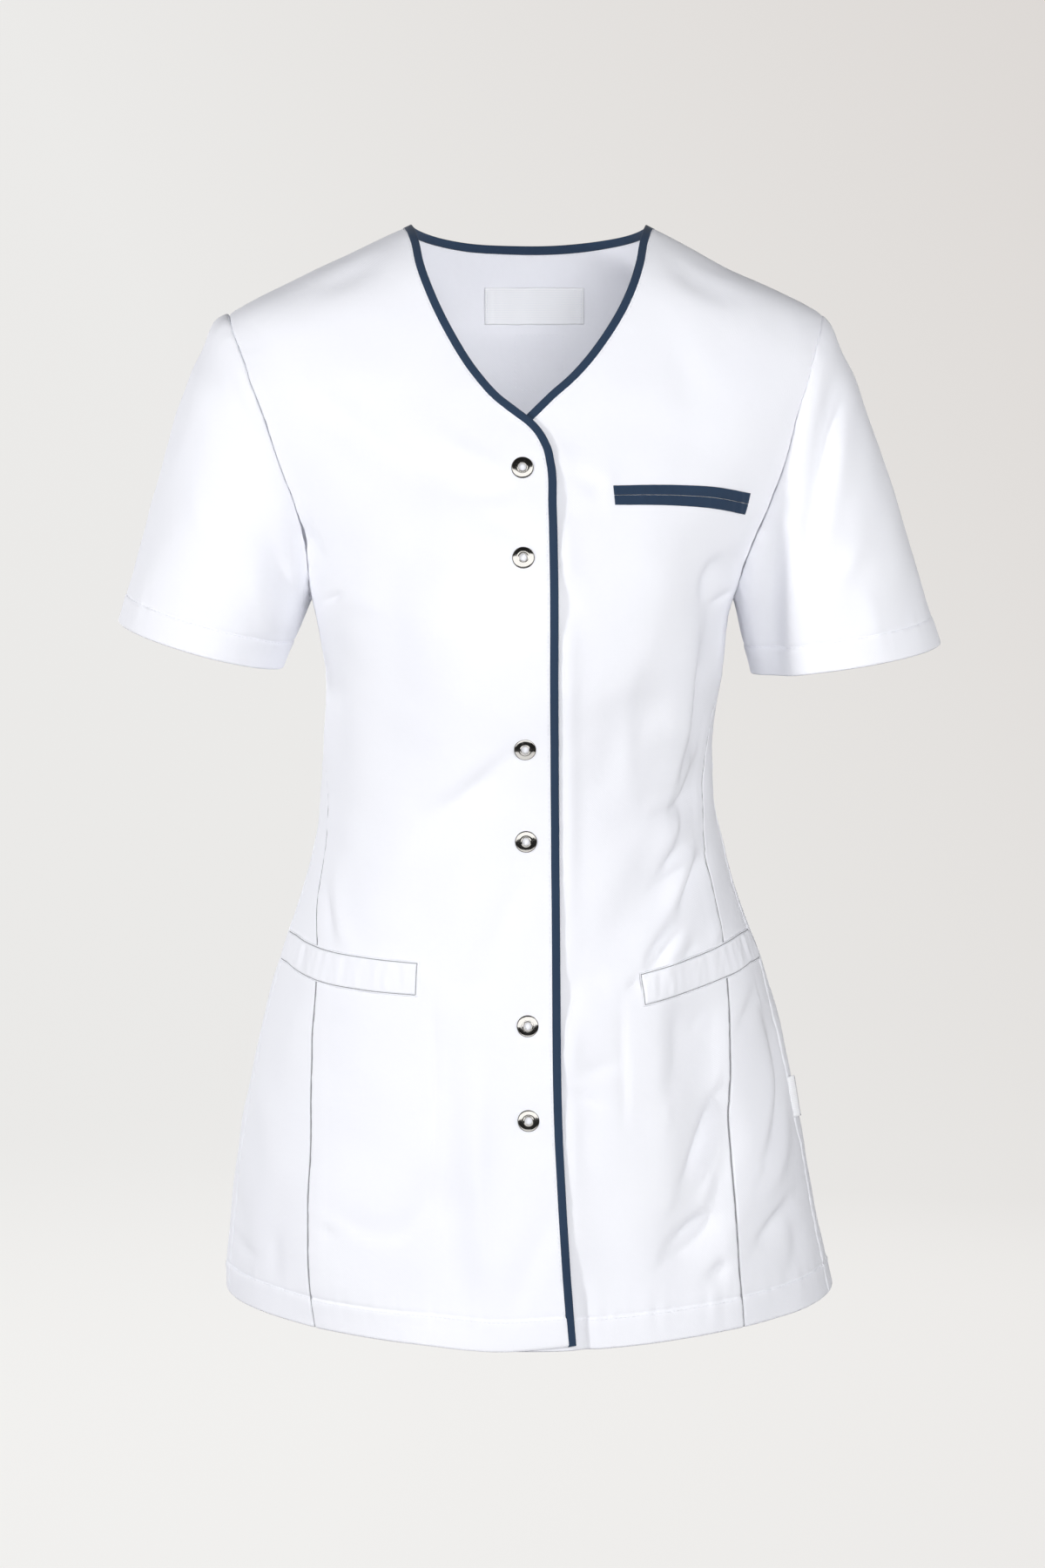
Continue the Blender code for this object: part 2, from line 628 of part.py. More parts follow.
def make_tunic():
    """Builds every piece of the tunic in its own collection."""
    tunic = bpy.data.collections.new("Beautician tunic")
    bpy.context.scene.collection.children.link(tunic)
    white = material("white poplin", WHITE, 0.85)
    navy = material("navy edging", NAVY, 0.8)
    satin = material("label satin", WHITE, 0.45)
    metal = material("snap metal", CHROME, 0.2, metallic=1.0)
    for side, name in ((-1, "right"), (1, "left")):
        sheet(f"front_{name}", front_panel(side), CLOTH_WALL, tunic, white)
        sheet(f"side_{name}", side_panel(side), CLOTH_WALL, tunic, white)
        strip = edging(front_lines(side), ["last"], over=side < 0)
        sheet(f"edging_{name}", strip, EDGING_WALL, tunic, navy)
    sheet("back", back_panel(), CLOTH_WALL, tunic, white)
    sheet("edging_back", edging(back_neck_lines(), ["first", "last"]), EDGING_WALL, tunic, navy)
    for size in SLEEVES:
        sheet(f"sleeve_{size.side}", sleeve(size), CLOTH_WALL, tunic, white, tube=True)
    half_slit = CHEST_SLIT / 2 / (12.5 * MM)
    sheet("chest_jet_upper", pocket_strip(CHEST_POCKET, 0, 0.5 - half_slit), TRIM_WALL, tunic, navy)
    sheet("chest_jet_lower", pocket_strip(CHEST_POCKET, 0.5 + half_slit, 1), TRIM_WALL, tunic, navy)
    sheet("hip_welt_right", pocket_strip(HIP_POCKET_RIGHT, 0, 1, side=-1), TRIM_WALL, tunic, white)
    sheet("hip_welt_left", pocket_strip(HIP_POCKET_LEFT, 0, 1, side=1), TRIM_WALL, tunic, white)
    make_snaps(tunic, metal)
    sheet("neck_label", neck_label(), LABEL_WALL, tunic, satin)
    sheet("side_tab", side_tab(), LABEL_WALL, tunic, satin)


for old in list(bpy.data.objects):
    bpy.data.objects.remove(old, do_unlink=True)
make_tunic()
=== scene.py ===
# %% [markdown]
# # A beautician's tunic in white poplin
#
# The real tunic is cut from thin polyester-cotton poplin, and it is shown as if someone wore it, but with
# nobody inside. The solids that come with it give the walls, the seams and the largest folds. This script
# dresses them: thin cloth with creases, turned hems, stitches, ring snaps and labels. Every length in a
# table is in millimetres, and everything in Blender is in metres.
#
# ## Load the solids
#
# The solids arrive as one fixed frame, so a piece made here at the same coordinates lies where it should,
# with no fitting by eye.

# %% Load the solids
import math
from collections import namedtuple

import bpy
import numpy as np
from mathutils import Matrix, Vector


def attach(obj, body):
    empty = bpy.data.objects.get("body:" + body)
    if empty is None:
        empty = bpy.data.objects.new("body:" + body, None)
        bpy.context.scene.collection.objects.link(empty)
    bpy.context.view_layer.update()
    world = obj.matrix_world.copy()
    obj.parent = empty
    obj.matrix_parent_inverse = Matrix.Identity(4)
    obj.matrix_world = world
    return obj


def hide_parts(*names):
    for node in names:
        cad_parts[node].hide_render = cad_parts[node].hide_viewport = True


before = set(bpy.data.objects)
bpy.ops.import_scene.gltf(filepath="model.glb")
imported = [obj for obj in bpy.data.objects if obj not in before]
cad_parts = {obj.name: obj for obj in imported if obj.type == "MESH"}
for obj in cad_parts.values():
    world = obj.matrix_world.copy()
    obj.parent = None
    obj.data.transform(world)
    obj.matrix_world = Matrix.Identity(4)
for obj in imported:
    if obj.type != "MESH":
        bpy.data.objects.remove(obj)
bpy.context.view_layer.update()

MM = 0.001

# %% [markdown]
# ## Camera
#
# The photograph was taken from a little above the tunic's middle, with a long lens. The tilt and distance
# come from the tunic itself: its neck, hem and cuffs show as ellipses, and how open each one looks says how
# high the camera stood. A long lens from further off would flatten those ellipses, so the distance matters.

# %% Camera
camera_data = bpy.data.cameras.new("studio camera")
camera_data.lens = 79.77
camera_data.sensor_width = 36
camera = bpy.data.objects.new("studio camera", camera_data)
camera.location = (-0.00406, -2.30, -0.12)
camera.rotation_euler = (math.radians(90 - 6.13), 0, 0)
bpy.context.scene.collection.objects.link(camera)
bpy.context.scene.camera = camera
bpy.context.scene.view_settings.view_transform = "Standard"
print("camera", tuple(camera.location), "lens", camera_data.lens)

# %% [markdown]
# ## Colours and nodes
#
# A colour picked on a screen is sRGB, and Blender's shaders count in linear light, so one function turns
# each hex value. One more adds any node to a material: its settings are properties, and each input is
# either a plain value or another node's output, which becomes a link. A few short ones build on it, for the
# patterns that several materials need.

# %% Colours and nodes
def linear(hex_colour):
    """A linear RGBA colour from an sRGB hex value."""
    channels = [int(hex_colour[i:i + 2], 16) / 255 for i in (1, 3, 5)]
    return [c / 12.92 if c <= 0.04045 else ((c + 0.055) / 1.055) ** 2.4 for c in channels] + [1.0]


def fill(material, node, inputs):
    """Fills a node's inputs with values, or with other nodes' outputs, which become links."""
    for socket, value in dict(inputs).items():
        if isinstance(value, bpy.types.NodeSocket):
            material.node_tree.links.new(value, node.inputs[socket])
        else:
            node.inputs[socket].default_value = value


def add(material, kind, inputs=(), **settings):
    """Adds a node with its settings, and fills its inputs."""
    node = material.node_tree.nodes.new("ShaderNode" + kind)
    for name, value in settings.items():
        setattr(node, name, value)
    fill(material, node, inputs)
    return node


def new_material(name):
    """A material with an empty node tree, its shader and its output."""
    made = bpy.data.materials.new(name)
    made.use_nodes = True
    made.node_tree.nodes.clear()
    surface = add(made, "BsdfPrincipled")
    add(made, "OutputMaterial", {"Surface": surface.outputs["BSDF"]})
    return made, surface


def noise(material, size, detail, **more):
    """The pattern of a noise texture whose patches are about this many metres wide."""
    place = add(material, "TexCoord")
    inputs = {"Vector": place.outputs["Object"], "Scale": 1 / size, "Detail": detail, **more}
    return add(material, "TexNoise", inputs).outputs["Fac"]


def blend(material, share, first, second):
    """A colour between two hex colours, by a pattern."""
    return add(material, "Mix", {0: share, 6: linear(first), 7: linear(second)}, data_type="RGBA").outputs[2]


def spread(material, pattern, low, high):
    """A pattern's values, brought from 0 and 1 to a low and a high one."""
    return add(material, "MapRange", {"Value": pattern, "To Min": low, "To Max": high}).outputs[0]


def bump(material, height, distance, strength, **more):
    """A normal that tilts as if the pattern stood this far out of the surface."""
    return add(material, "Bump", {"Height": height, "Distance": distance, "Strength": strength, **more}).outputs[0]


print("white", [round(c, 3) for c in linear("#F9FAFE")])

# %% [markdown]
# ## Poplin
#
# Poplin is a plain weave, one thread over and one under, here in polyester and cotton. The yarns are about
# a quarter of a millimetre apart, which no pixel of the render could show, so the weave is drawn three
# times as coarse. It gives a matt face with a soft sheen at grazing angles, and it creases finely where it
# was ironed. The weave follows a UV map that is measured along the cloth in metres, so its threads run with
# the cut. Navy poplin is the same cloth, dyed.

# %% Poplin
YARN_PITCH = 0.25 * MM
WEAVE_COARSER = 3


def poplin(name, colour, second_colour, sheen):
    """Woven poplin in one colour, with its weave, fine crumples and a slight unevenness of shade."""
    made, surface = new_material(name)
    cloth = add(made, "UVMap", uv_map="cloth")
    turns = math.pi / (YARN_PITCH * WEAVE_COARSER)
    threads = add(made, "VectorMath", {0: cloth.outputs["UV"], 1: (turns, turns, 0)}, operation="MULTIPLY")
    warp_weft = add(made, "SeparateXYZ", {0: threads.outputs[0]})
    warp, weft = (add(made, "Math", {0: warp_weft.outputs[axis]}, operation="SINE") for axis in "XY")
    weave = add(made, "Math", {0: warp.outputs[0], 1: weft.outputs[0]}, operation="MULTIPLY")
    crumples = noise(made, 14 * MM, 3, Roughness=0.4, Distortion=0.2)
    woven = bump(made, weave.outputs[0], 0.03 * MM, 0.6)
    fill(made, surface, {
        "Base Color": blend(made, noise(made, 70 * MM, 2), colour, second_colour),
        "Roughness": spread(made, crumples, 0.78, 0.9),
        "Normal": bump(made, crumples, 0.5 * MM, 0.7, Normal=woven),
        "Sheen Weight": sheen, "Sheen Roughness": 0.5, "Specular IOR Level": 0.25,
    })
    return made


white_poplin = poplin("white polyester-cotton poplin", "#F5F6FC", "#F8F9FD", 0.05)
navy_poplin = poplin("navy polyester-cotton poplin", "#22344B", "#2B3F57", 0.1)
print(white_poplin.name, "and", navy_poplin.name)

# %% [markdown]
# ## Thread, satin and nickel
#
# The sewing thread is spun polyester: a thin matt cord. Deep in a pressed seam hardly any light reaches it,
# and from a step away it shows as a thin grey line, so the thread in the seams is coloured grey, painted shade.
# The labels are woven in satin, whose long floating threads catch the light in one direction, so it is smoother
# than poplin, and its bump runs in fine lines. The ring snaps are stamped brass under polished nickel: a metal,
# so it has no colour but its reflection, slightly warm, with faint scratches from the press and from washing.
# The dark ring at their pressed edges is painted shade.

# %% Thread, satin and nickel
def spun_thread():
    """White spun polyester thread."""
    made, surface = new_material("white spun polyester thread")
    place = add(made, "TexCoord")
    twist = add(made, "TexWave", {"Vector": place.outputs["Object"], "Scale": 1 / (2.4 * MM)},
                bands_direction="DIAGONAL").outputs["Fac"]
    fill(made, surface, {"Base Color": linear("#EEF0F6"), "Roughness": 0.7,
                         "Normal": bump(made, twist, 0.05 * MM, 0.5)})
    return made


def woven_satin():
    """White polyester satin of the labels."""
    made, surface = new_material("white woven polyester satin")
    cloth = add(made, "UVMap", uv_map="cloth")
    floats = add(made, "TexWave", {"Vector": cloth.outputs["UV"], "Scale": 1 / (4 * MM), "Distortion": 0.4},
                 bands_direction="Y").outputs["Fac"]
    fill(made, surface, {"Base Color": blend(made, floats, "#F2F4F8", "#FBFBFC"), "Roughness": 0.38,
                         "Normal": bump(made, floats, 0.04 * MM, 0.5), "Sheen Weight": 0.1})
    return made


def plated_nickel():
    """Polished nickel over stamped brass."""
    made, surface = new_material("nickel-plated stamped brass")
    scuffs = noise(made, 1.6 * MM, 6)
    fill(made, surface, {"Base Color": linear("#E3E1DE"), "Metallic": 1.0,
                         "Roughness": spread(made, scuffs, 0.06, 0.18),
                         "Normal": bump(made, scuffs, 0.01 * MM, 0.4)})
    return made


def painted_outline_nickel():
    """The pressed edge of a snap in dark nickel: painted shade that draws a thin dark outline round the ring."""
    made, surface = new_material("nickel of a snap edge with painted shade")
    tone = blend(made, noise(made, 1.1 * MM, 3), "#4A4846", "#7B7976")
    fill(made, surface, {"Base Color": tone, "Metallic": 1.0, "Roughness": 0.42})
    return made


def seam_shade():
    """The thread of a pressed seam, coloured grey: painted shade of the groove between two folds that it lies sunk
    in.
    """
    made, surface = new_material("seam thread grey with painted shade")
    tone = blend(made, noise(made, 3 * MM, 2), "#8C8D90", "#A2A3A6")
    fill(made, surface, {"Base Color": tone, "Roughness": 0.8})
    return made


white_thread = spun_thread()
seam_thread_painted_shade = seam_shade()
label_satin = woven_satin()
snap_nickel = plated_nickel()
snap_painted_outline = painted_outline_nickel()
print(white_thread.name, label_satin.name, snap_nickel.name, sep=", ")

# %% [markdown]
# ## The worn form
#
# The torso is one surface of stacked rings. Each ring is a superellipse, which is an ellipse whose corners
# can be filled out a little by raising its power, and it has its own depth to the front and to the back.
# The tables are those of the solids, so the cloth follows the same walls. They could be read off the solids'
# meshes, but a formula can be asked for a point at any angle and height, as finely as the cloth needs it.

# %% The worn form: tables
CLOTH_WALL = 1.5 * MM
SEAM_GAP = 0.45 * MM
LAP_LIFT = 2.6 * MM
EDGING_WIDTH = 5.3 * MM
NECK_EDGING_WIDTH = 6.6 * MM
HEM_Z = -705.5 * MM
HEM_DIP = 12.5 * MM
HEM_DIP_START = -600 * MM
NECK_TOP_Z = 0.7 * MM
NECK_BACK_Z = -10.5 * MM
NECK_RISE_POWER = 2.0
ARMHOLE_Z = -150.5 * MM
ARMHOLE_HALF_HEIGHT = 92.5 * MM
ARMHOLE_HALF_WIDTH = 54 * MM
ARMHOLE_ROUNDING = 0.9

SIDE_NAME = {-1: "right", 1: "left"}

Section = namedtuple("Section", "z centre half_width front back power")
SECTIONS = [Section(*row) for row in (
    (5, 0, 68.5, 39, 44, 2.0), (0, 0, 78.4, 42, 48, 2.0), (-28, -3.5, 134.5, 56, 68, 2.0),
    (-57, -2, 193.5, 68, 84, 2.0), (-97, 0, 215, 84, 98, 2.0), (-125, 1, 206.5, 94, 104, 2.0),
    (-153, 2, 191.5, 104, 108, 2.0), (-181, 2, 172, 113, 110, 2.0), (-204, 0, 156, 120, 110, 2.05),
    (-245, -4.3, 138.7, 128, 107, 2.15), (-291, -3, 130.9, 125, 98, 2.2), (-338, -7.2, 128.9, 114, 89, 2.2),
    (-384, -7.3, 131.5, 108, 89, 2.2), (-431, -6.4, 142.5, 108, 98, 2.2), (-478, -5.8, 159.2, 111, 110, 2.2),
    (-526, -5, 172.9, 116, 120, 2.2), (-573, -5, 183.3, 120, 126, 2.15), (-621, -4.6, 191.9, 124, 130, 2.1),
    (-669, -2.6, 199.1, 128, 133, 2.05), (-708, 0.9, 204.7, 131, 135, 2.0),
)]
FrontEdge = namedtuple("FrontEdge", "z right left")
FRONT_EDGES = [FrontEdge(*row) for row in (
    (0.7, -76.3, 76.3), (-3, -74.6, 75), (-9, -72.2, 73), (-25, -68.2, 69.4), (-45, -60.6, 62.4),
    (-71, -47.5, 47.6), (-97, -30.5, 26.2), (-110, -18.9, 11.4), (-117, -10.1, 4.2), (-128, 4.2, -7),
    (-141, 13, -16.5), (-154, 16.4, -22), (-181, 17.4, -24.5), (-311, 18.5, -25), (-444, 19.8, -25),
    (-580, 21.6, -25.5), (-648, 25.6, -26), (-718, 31.3, -26),
)]
Seam = namedtuple("Seam", "z front_right front_left side")
SEAMS = [Seam(*row) for row in (
    (-243, -3, -3, 17), (-290, -8, -14, 11), (-338, -24, -29, 0), (-372, -38, -38, -7), (-404, -43, -49, -13),
    (-435, -49, -55, -18), (-468, -64, -62, -22), (-530, -78, -77, -25), (-600, -87.5, -86, -26),
    (-708, -96, -96, -26),
)]
LOW_LEVELS = [-705.5, -686, -664, -640, -616, -592, -568, -544, -520, -496,
              -472, -448, -424, -400, -376, -352, -328, -304, -281, -261]
UpperRow = namedtuple("UpperRow", "edge_z front_turn back_turn")
UPPER_ROWS = [UpperRow(*row) for row in (
    (-238, 177, 197), (-212, 160, 210), (-188, 142, 223), (-168, 125, 236), (-152, 109, 249), (-140, 94, 262),
    (-130, 80, 275), (-120, 66, 288), (-104, 53, 301), (-82, 41, 314), (-56, 30, 327), (-30, 20, 338),
    (-12, 11.5, 348), (-3, 5, 355), (0.7, 0, 360),
)]
print(len(SECTIONS), "rings and", len(LOW_LEVELS) + len(UPPER_ROWS), "rows of the panels")


# %% The worn form: surface
def smooth_step(value, start, end):
    """0 at start, 1 at end, smooth between."""
    t = np.clip((value - start) / (end - start), 0, 1)
    return t * t * (3 - 2 * t)


def between(first, last, share):
    """A value between two others, by a share."""
    return first * (1 - share) + last * share


def bell(distance, width):
    """1 in the middle, fading smoothly to nothing over about two widths."""
    return np.exp(-(distance / width) ** 2)


def hermite(t, start, leave, end, arrive):
    """A point of a curve, for t from 0 to 1, which leaves its start and arrives at its end in given directions."""
    first = (1 + 2 * t) * (1 - t) ** 2 * start + t * (1 - t) ** 2 * leave
    return first + t * t * (3 - 2 * t) * end + t * t * (t - 1) * arrive


def table_curve(table, key, name, scale=MM):
    """One column of a table, as a smooth function of another one in metres."""
    knots = np.array([getattr(row, key) for row in table], float) * MM
    values = np.array([getattr(row, name) for row in table], float) * scale
    order = np.argsort(knots)
    knots, values = knots[order], values[order]
    slopes = np.gradient(values, knots)

    def value(at):
        at = np.clip(at, knots[0], knots[-1])
        i = np.clip(np.searchsorted(knots, at) - 1, 0, len(knots) - 2)
        step = knots[i + 1] - knots[i]
        t = (at - knots[i]) / step
        return hermite(t, values[i], step * slopes[i], values[i + 1], step * slopes[i + 1])
    return value


ring_centre, ring_half_width, ring_front, ring_back = (
    table_curve(SECTIONS, "z", column) for column in ("centre", "half_width", "front", "back"))
ring_power = table_curve(SECTIONS, "z", "power", scale=1)


def ring_point(angle, z):
    """A point of the plain torso. The angle is 0 at the centre front and grows towards +X."""
    angle, z = np.broadcast_arrays(np.asarray(angle, float), np.asarray(z, float))
    power = ring_power(z)
    depth = np.where(np.cos(angle) > 0, ring_front(z), ring_back(z))
    across = np.abs(np.sin(angle) / ring_half_width(z)) ** power
    along = np.abs(np.cos(angle) / depth) ** power
    radius = (across + along) ** (-1 / power) - CLOTH_WALL / 2
    return np.stack([ring_centre(z) + radius * np.sin(angle), -radius * np.cos(angle), z], axis=-1)


def ring_normal(angle, z):
    """The outward normal of the plain torso."""
    around = ring_point(np.add(angle, 0.002), z) - ring_point(np.subtract(angle, 0.002), z)
    upward = ring_point(angle, np.add(z, MM / 2)) - ring_point(angle, np.subtract(z, MM / 2))
    normal = np.cross(around, upward)
    return normal / np.linalg.norm(normal, axis=-1, keepdims=True)


def angle_of(point):
    """The ring angle of a point of the torso."""
    return np.arctan2(point[..., 0] - ring_centre(point[..., 2]), -point[..., 1])


def angle_at_x(x, z, facing="front"):
    """The ring angle where the torso's front, or its back, has this x."""
    across = np.clip(np.abs(x - ring_centre(z)) / ring_half_width(z), 0, 1)
    depth = ring_front(z) if facing == "front" else -ring_back(z)
    y = -depth * (1 - across ** ring_power(z)) ** (1 / ring_power(z))
    return np.arctan2(x - ring_centre(z), -y)


def angle_at_y(y, z, side):
    """The ring angle where the torso has this y, on the side +1 or -1 of X."""
    depth = np.where(y < 0, ring_front(z), ring_back(z))
    across = ring_half_width(z) * (1 - np.abs(y / depth) ** ring_power(z)) ** (1 / ring_power(z))
    return np.arctan2(side * across, -y)


def armhole_point(turn, side):
    """A point of the armhole: 0 degrees is the shoulder point, 90 the front and 180 the underarm."""
    sine = np.sin(np.radians(turn))
    y = -ARMHOLE_HALF_WIDTH * np.sign(sine) * np.abs(sine) ** ARMHOLE_ROUNDING
    z = ARMHOLE_Z + ARMHOLE_HALF_HEIGHT * np.cos(np.radians(turn))
    return angle_at_y(y, z, side), z


print("waist", [round(float(v), 4) for v in ring_point(0.0, -0.36)])

# %% [markdown]
# ## Folds and creases
#
# Cloth folds where it is pulled or has slack: from the shoulder to the bust, from the bust to the waist, and
# under the pockets. Each one is a line on the front or on the back with a width and a height, and a
# negative height makes it a trough. A fold's skew makes one flank steeper than the other, as cloth that
# hangs over does. A cloth simulation could find folds of its own, but not these ones, so they are drawn.

# %% Folds and creases
def faced(kind, front, back):
    """Rows of a table, each marked with the face of the tunic that it lies on."""
    return [kind("front", *row) for row in front] + [kind("back", *row) for row in back]


Fold = namedtuple("Fold", "face from_x from_z to_x to_z width height")
FOLDS = faced(Fold, [
    (-160, -95, -70, -170, 20, -3.0), (-10, -345, -75, -395, 14, -2.5), (92, -200, 84, -300, 26, 4.5),
    (82, -300, 74, -400, 22, 3.5), (-55, -600, -62, -705, 20, -5.0), (-132, -600, -134, -705, 24, 3.5),
    (34, -470, 30, -690, 26, 2.5), (112, -470, 118, -640, 17, -4.5), (122, -235, 112, -420, 14, -4.0),
    (95, -330, 60, -395, 15, -3.0), (100, -385, 45, -470, 15, -2.5), (25, -560, 55, -690, 20, -3.0),
    (-15, -590, -45, -700, 22, -2.5), (-95, -600, -105, -700, 24, 2.0), (135, -560, 95, -680, 20, -3.0),
], [
    (-95, -330, -20, -375, 16, -3.0), (100, -345, 25, -400, 16, -3.0), (-60, -560, -75, -700, 24, -3.5),
    (50, -540, 70, -700, 24, -3.5), (120, -90, 70, -180, 20, -3.0), (-125, -95, -80, -175, 20, -3.0),
])
Crease = namedtuple("Crease", "face x0 z0 x1 z1 x2 z2 width height skew")
CREASES = faced(Crease, [
    (126, -214, 109, -222, 112, -243, 8, -6.0, -0.4), (114, -247, 124, -243, 131, -236, 2.4, -2.4, -0.4),
    (105, -266, 99, -325, 91, -362, 8, 6.0, 0.6), (111, -275, 108, -300, 107, -338, 8, -6.0, -0.44),
    (109, -350, 102, -374, 88, -375, 7, -6.5, -0.6), (97, -376, 94, -394, 81, -417, 6, 4.0, 0.6),
    (102, -397, 91, -407, 86, -415, 4, -2.4, -0.4), (108, -399, 101, -422, 90, -442, 5, 4.2, 0.44),
    (114, -408, 103, -419, 97, -441, 4.5, -4.2, -0.44), (95, -447, 82, -461, 76, -476, 5, -4.6, -0.44),
    (103, -456, 95, -466, 90, -473, 4, 2.0, 0.0), (109, -460, 105, -466, 101, -472, 3.5, -2.2, -0.4),
    (122, -452, 120, -460, 118, -466, 3.5, 2.0, 0.0), (76, -278, 71, -317, 71, -357, 12, -2.6, -0.44),
    (58, -294, 52, -325, 52, -390, 14, -1.8, 0.0), (73, -479, 67, -484, 63, -488, 4, -2.0, -0.4),
    (97, -498, 100, -523, 94, -558, 13, -6.0, -0.44), (115, -504, 112, -512, 108, -516, 5, -2.0, -0.4),
    (122, -562, 113, -595, 99, -617, 9, -8.0, -0.6), (127, -585, 121, -611, 112, -629, 8, 3.4, 0.44),
    (121, -634, 105, -637, 88, -653, 7, -5.5, -0.6), (128, -663, 123, -668, 115, -671, 4.5, -3.0, -0.44),
    (27, -553, 35, -556, 48, -563, 4, -2.0, 0.0), (34, -540, 46, -536, 58, -537, 5, -1.6, 0.0),
    (29, -475, 38, -484, 52, -480, 7, -1.8, 0.0), (61, -496, 61, -534, 63, -573, 3.2, -1.4, 0.6),
    (155, -511, 176, -563, 154, -607, 9, -7.0, -0.6), (165, -532, 182, -602, 148, -633, 10, 3.6, 0.44),
    (172, -634, 159, -647, 148, -658, 6, -4.6, -0.44), (170, -641, 183, -667, 170, -680, 7, -2.4, -0.4),
    (149, -495, 142, -510, 136, -522, 5, -2.0, -0.4), (-166, -76, -97, -157, -33, -164, 13, -4.4, 0.3),
    (-48, -169, -25, -179, -5, -166, 8, -1.8, 0.0), (-34, -185, -20, -188, 2, -202, 6, -1.4, 0.0),
    (-70, -119, -45, -156, -10, -155, 8, 1.4, 0.0), (-148, -191, -142, -204, -129, -217, 5, -2.0, 0.0),
    (-131, -242, -124, -239, -119, -236, 2.4, -2.0, 0.0), (-122, -236, -111, -240, -93, -245, 7, 1.6, 0.0),
    (-92, -212, -78, -249, -93, -358, 14, -2.2, 0.0), (-60, -374, -40, -364, -8, -331, 6, -2.2, 0.3),
    (-60, -256, -45, -248, -30, -234, 6, -1.4, 0.0), (-4, -417, -15, -431, -26, -478, 9, -1.4, 0.0),
    (-125, -412, -127, -450, -115, -467, 5, 2.0, -0.2), (-131, -418, -131, -440, -126, -461, 4, -1.6, 0.0),
    (-61, -491, -58, -557, -64, -621, 3.2, -1.6, 0.4), (-64, -618, -81, -665, -136, -625, 6, -1.6, 0.3),
    (-49, -517, -59, -587, -37, -689, 13, -3.6, 0.0), (-29, -539, -40, -613, -23, -678, 11, 2.8, 0.3),
    (18, -628, 4, -651, -10, -684, 8, -2.2, 0.2), (-132, -642, -130, -646, -123, -646, 3.5, -1.8, 0.0),
    (-49, -495, -35, -477, -21, -486, 8, -1.2, 0.0), (-70, -472, -69, -478, -63, -493, 3.5, 1.4, 0.0),
    (85, -75, 104, -86, 101, -119, 12, -1.8, 0.0), (91, -24, 102, -40, 136, -49, 7, -1.8, 0.0),
    (-139, -41, -116, -39, -94, -18, 7, -1.8, 0.0), (23, -157, 35, -163, 49, -171, 6, -1.4, 0.0),
    (51, -157, 48, -165, 52, -184, 4, 1.2, 0.0), (-195, -618, -200, -642, -187, -660, 6, -2.6, 0.0),
    (-197, -658, -194, -670, -178, -672, 5, -2.2, 0.0), (-179, -513, -183, -553, -172, -601, 9, 1.8, 0.0),
    (-164, -654, -165, -670, -168, -687, 5, -1.8, 0.0),
], [
    (-150, -100, -110, -150, -95, -215, 12, -3.4, 0.2), (150, -95, 118, -150, 100, -210, 12, -3.0, 0.2),
    (-60, -60, -20, -78, 40, -66, 10, -1.6, 0.0), (-118, -250, -80, -290, -30, -318, 10, -3.2, 0.3),
    (120, -262, 88, -300, 40, -330, 9, -3.0, 0.3), (-112, -330, -70, -352, -15, -350, 7, -2.6, 0.2),
    (112, -345, 74, -372, 20, -368, 7, -2.4, 0.2), (-104, -372, -66, -392, -30, -388, 6, 2.0, 0.0),
    (104, -395, 76, -420, 44, -452, 7, -2.8, 0.3), (-20, -395, 0, -430, -8, -478, 11, -2.2, 0.0),
    (-60, -470, -74, -560, -70, -690, 12, -3.0, 0.3), (64, -480, 84, -580, 76, -695, 12, -3.2, 0.2),
    (8, -520, 16, -600, 6, -695, 12, 2.6, 0.2), (-128, -520, -146, -600, -140, -690, 11, 2.6, 0.0),
    (132, -500, 150, -590, 142, -690, 11, -2.6, 0.0), (-90, -600, -104, -640, -98, -690, 7, -1.9, 0.0),
    (30, -640, 36, -668, 30, -698, 7, -1.7, 0.0),
])
rng = np.random.default_rng(4636)
UNEVEN = [(rng.normal(size=3), rng.uniform(28, 80) * MM, rng.uniform(0, 2 * math.pi)) for _ in range(14)]
RIPPLE_PHASES = rng.uniform(0, 2 * math.pi, size=(12, 4))


def fold_height(x, z, facing):
    """How far the large folds move the cloth outwards; facing is +1 in front and -1 behind."""
    height = np.zeros_like(x)
    for fold in FOLDS:
        start = np.array([fold.from_x, fold.from_z]) * MM
        line = np.array([fold.to_x, fold.to_z]) * MM - start
        along = ((x - start[0]) * line[0] + (z - start[1]) * line[1]) / (line @ line)
        off_line = np.hypot(x - start[0] - along * line[0], z - start[1] - along * line[1])
        taper = smooth_step(along, -0.15, 0.3) * smooth_step(along, 1.15, 0.7)
        seen = smooth_step(facing * (1 if fold.face == "front" else -1), 0.1, 0.5)
        height = height + fold.height * MM * taper * seen * bell(off_line, fold.width * MM)
    return height


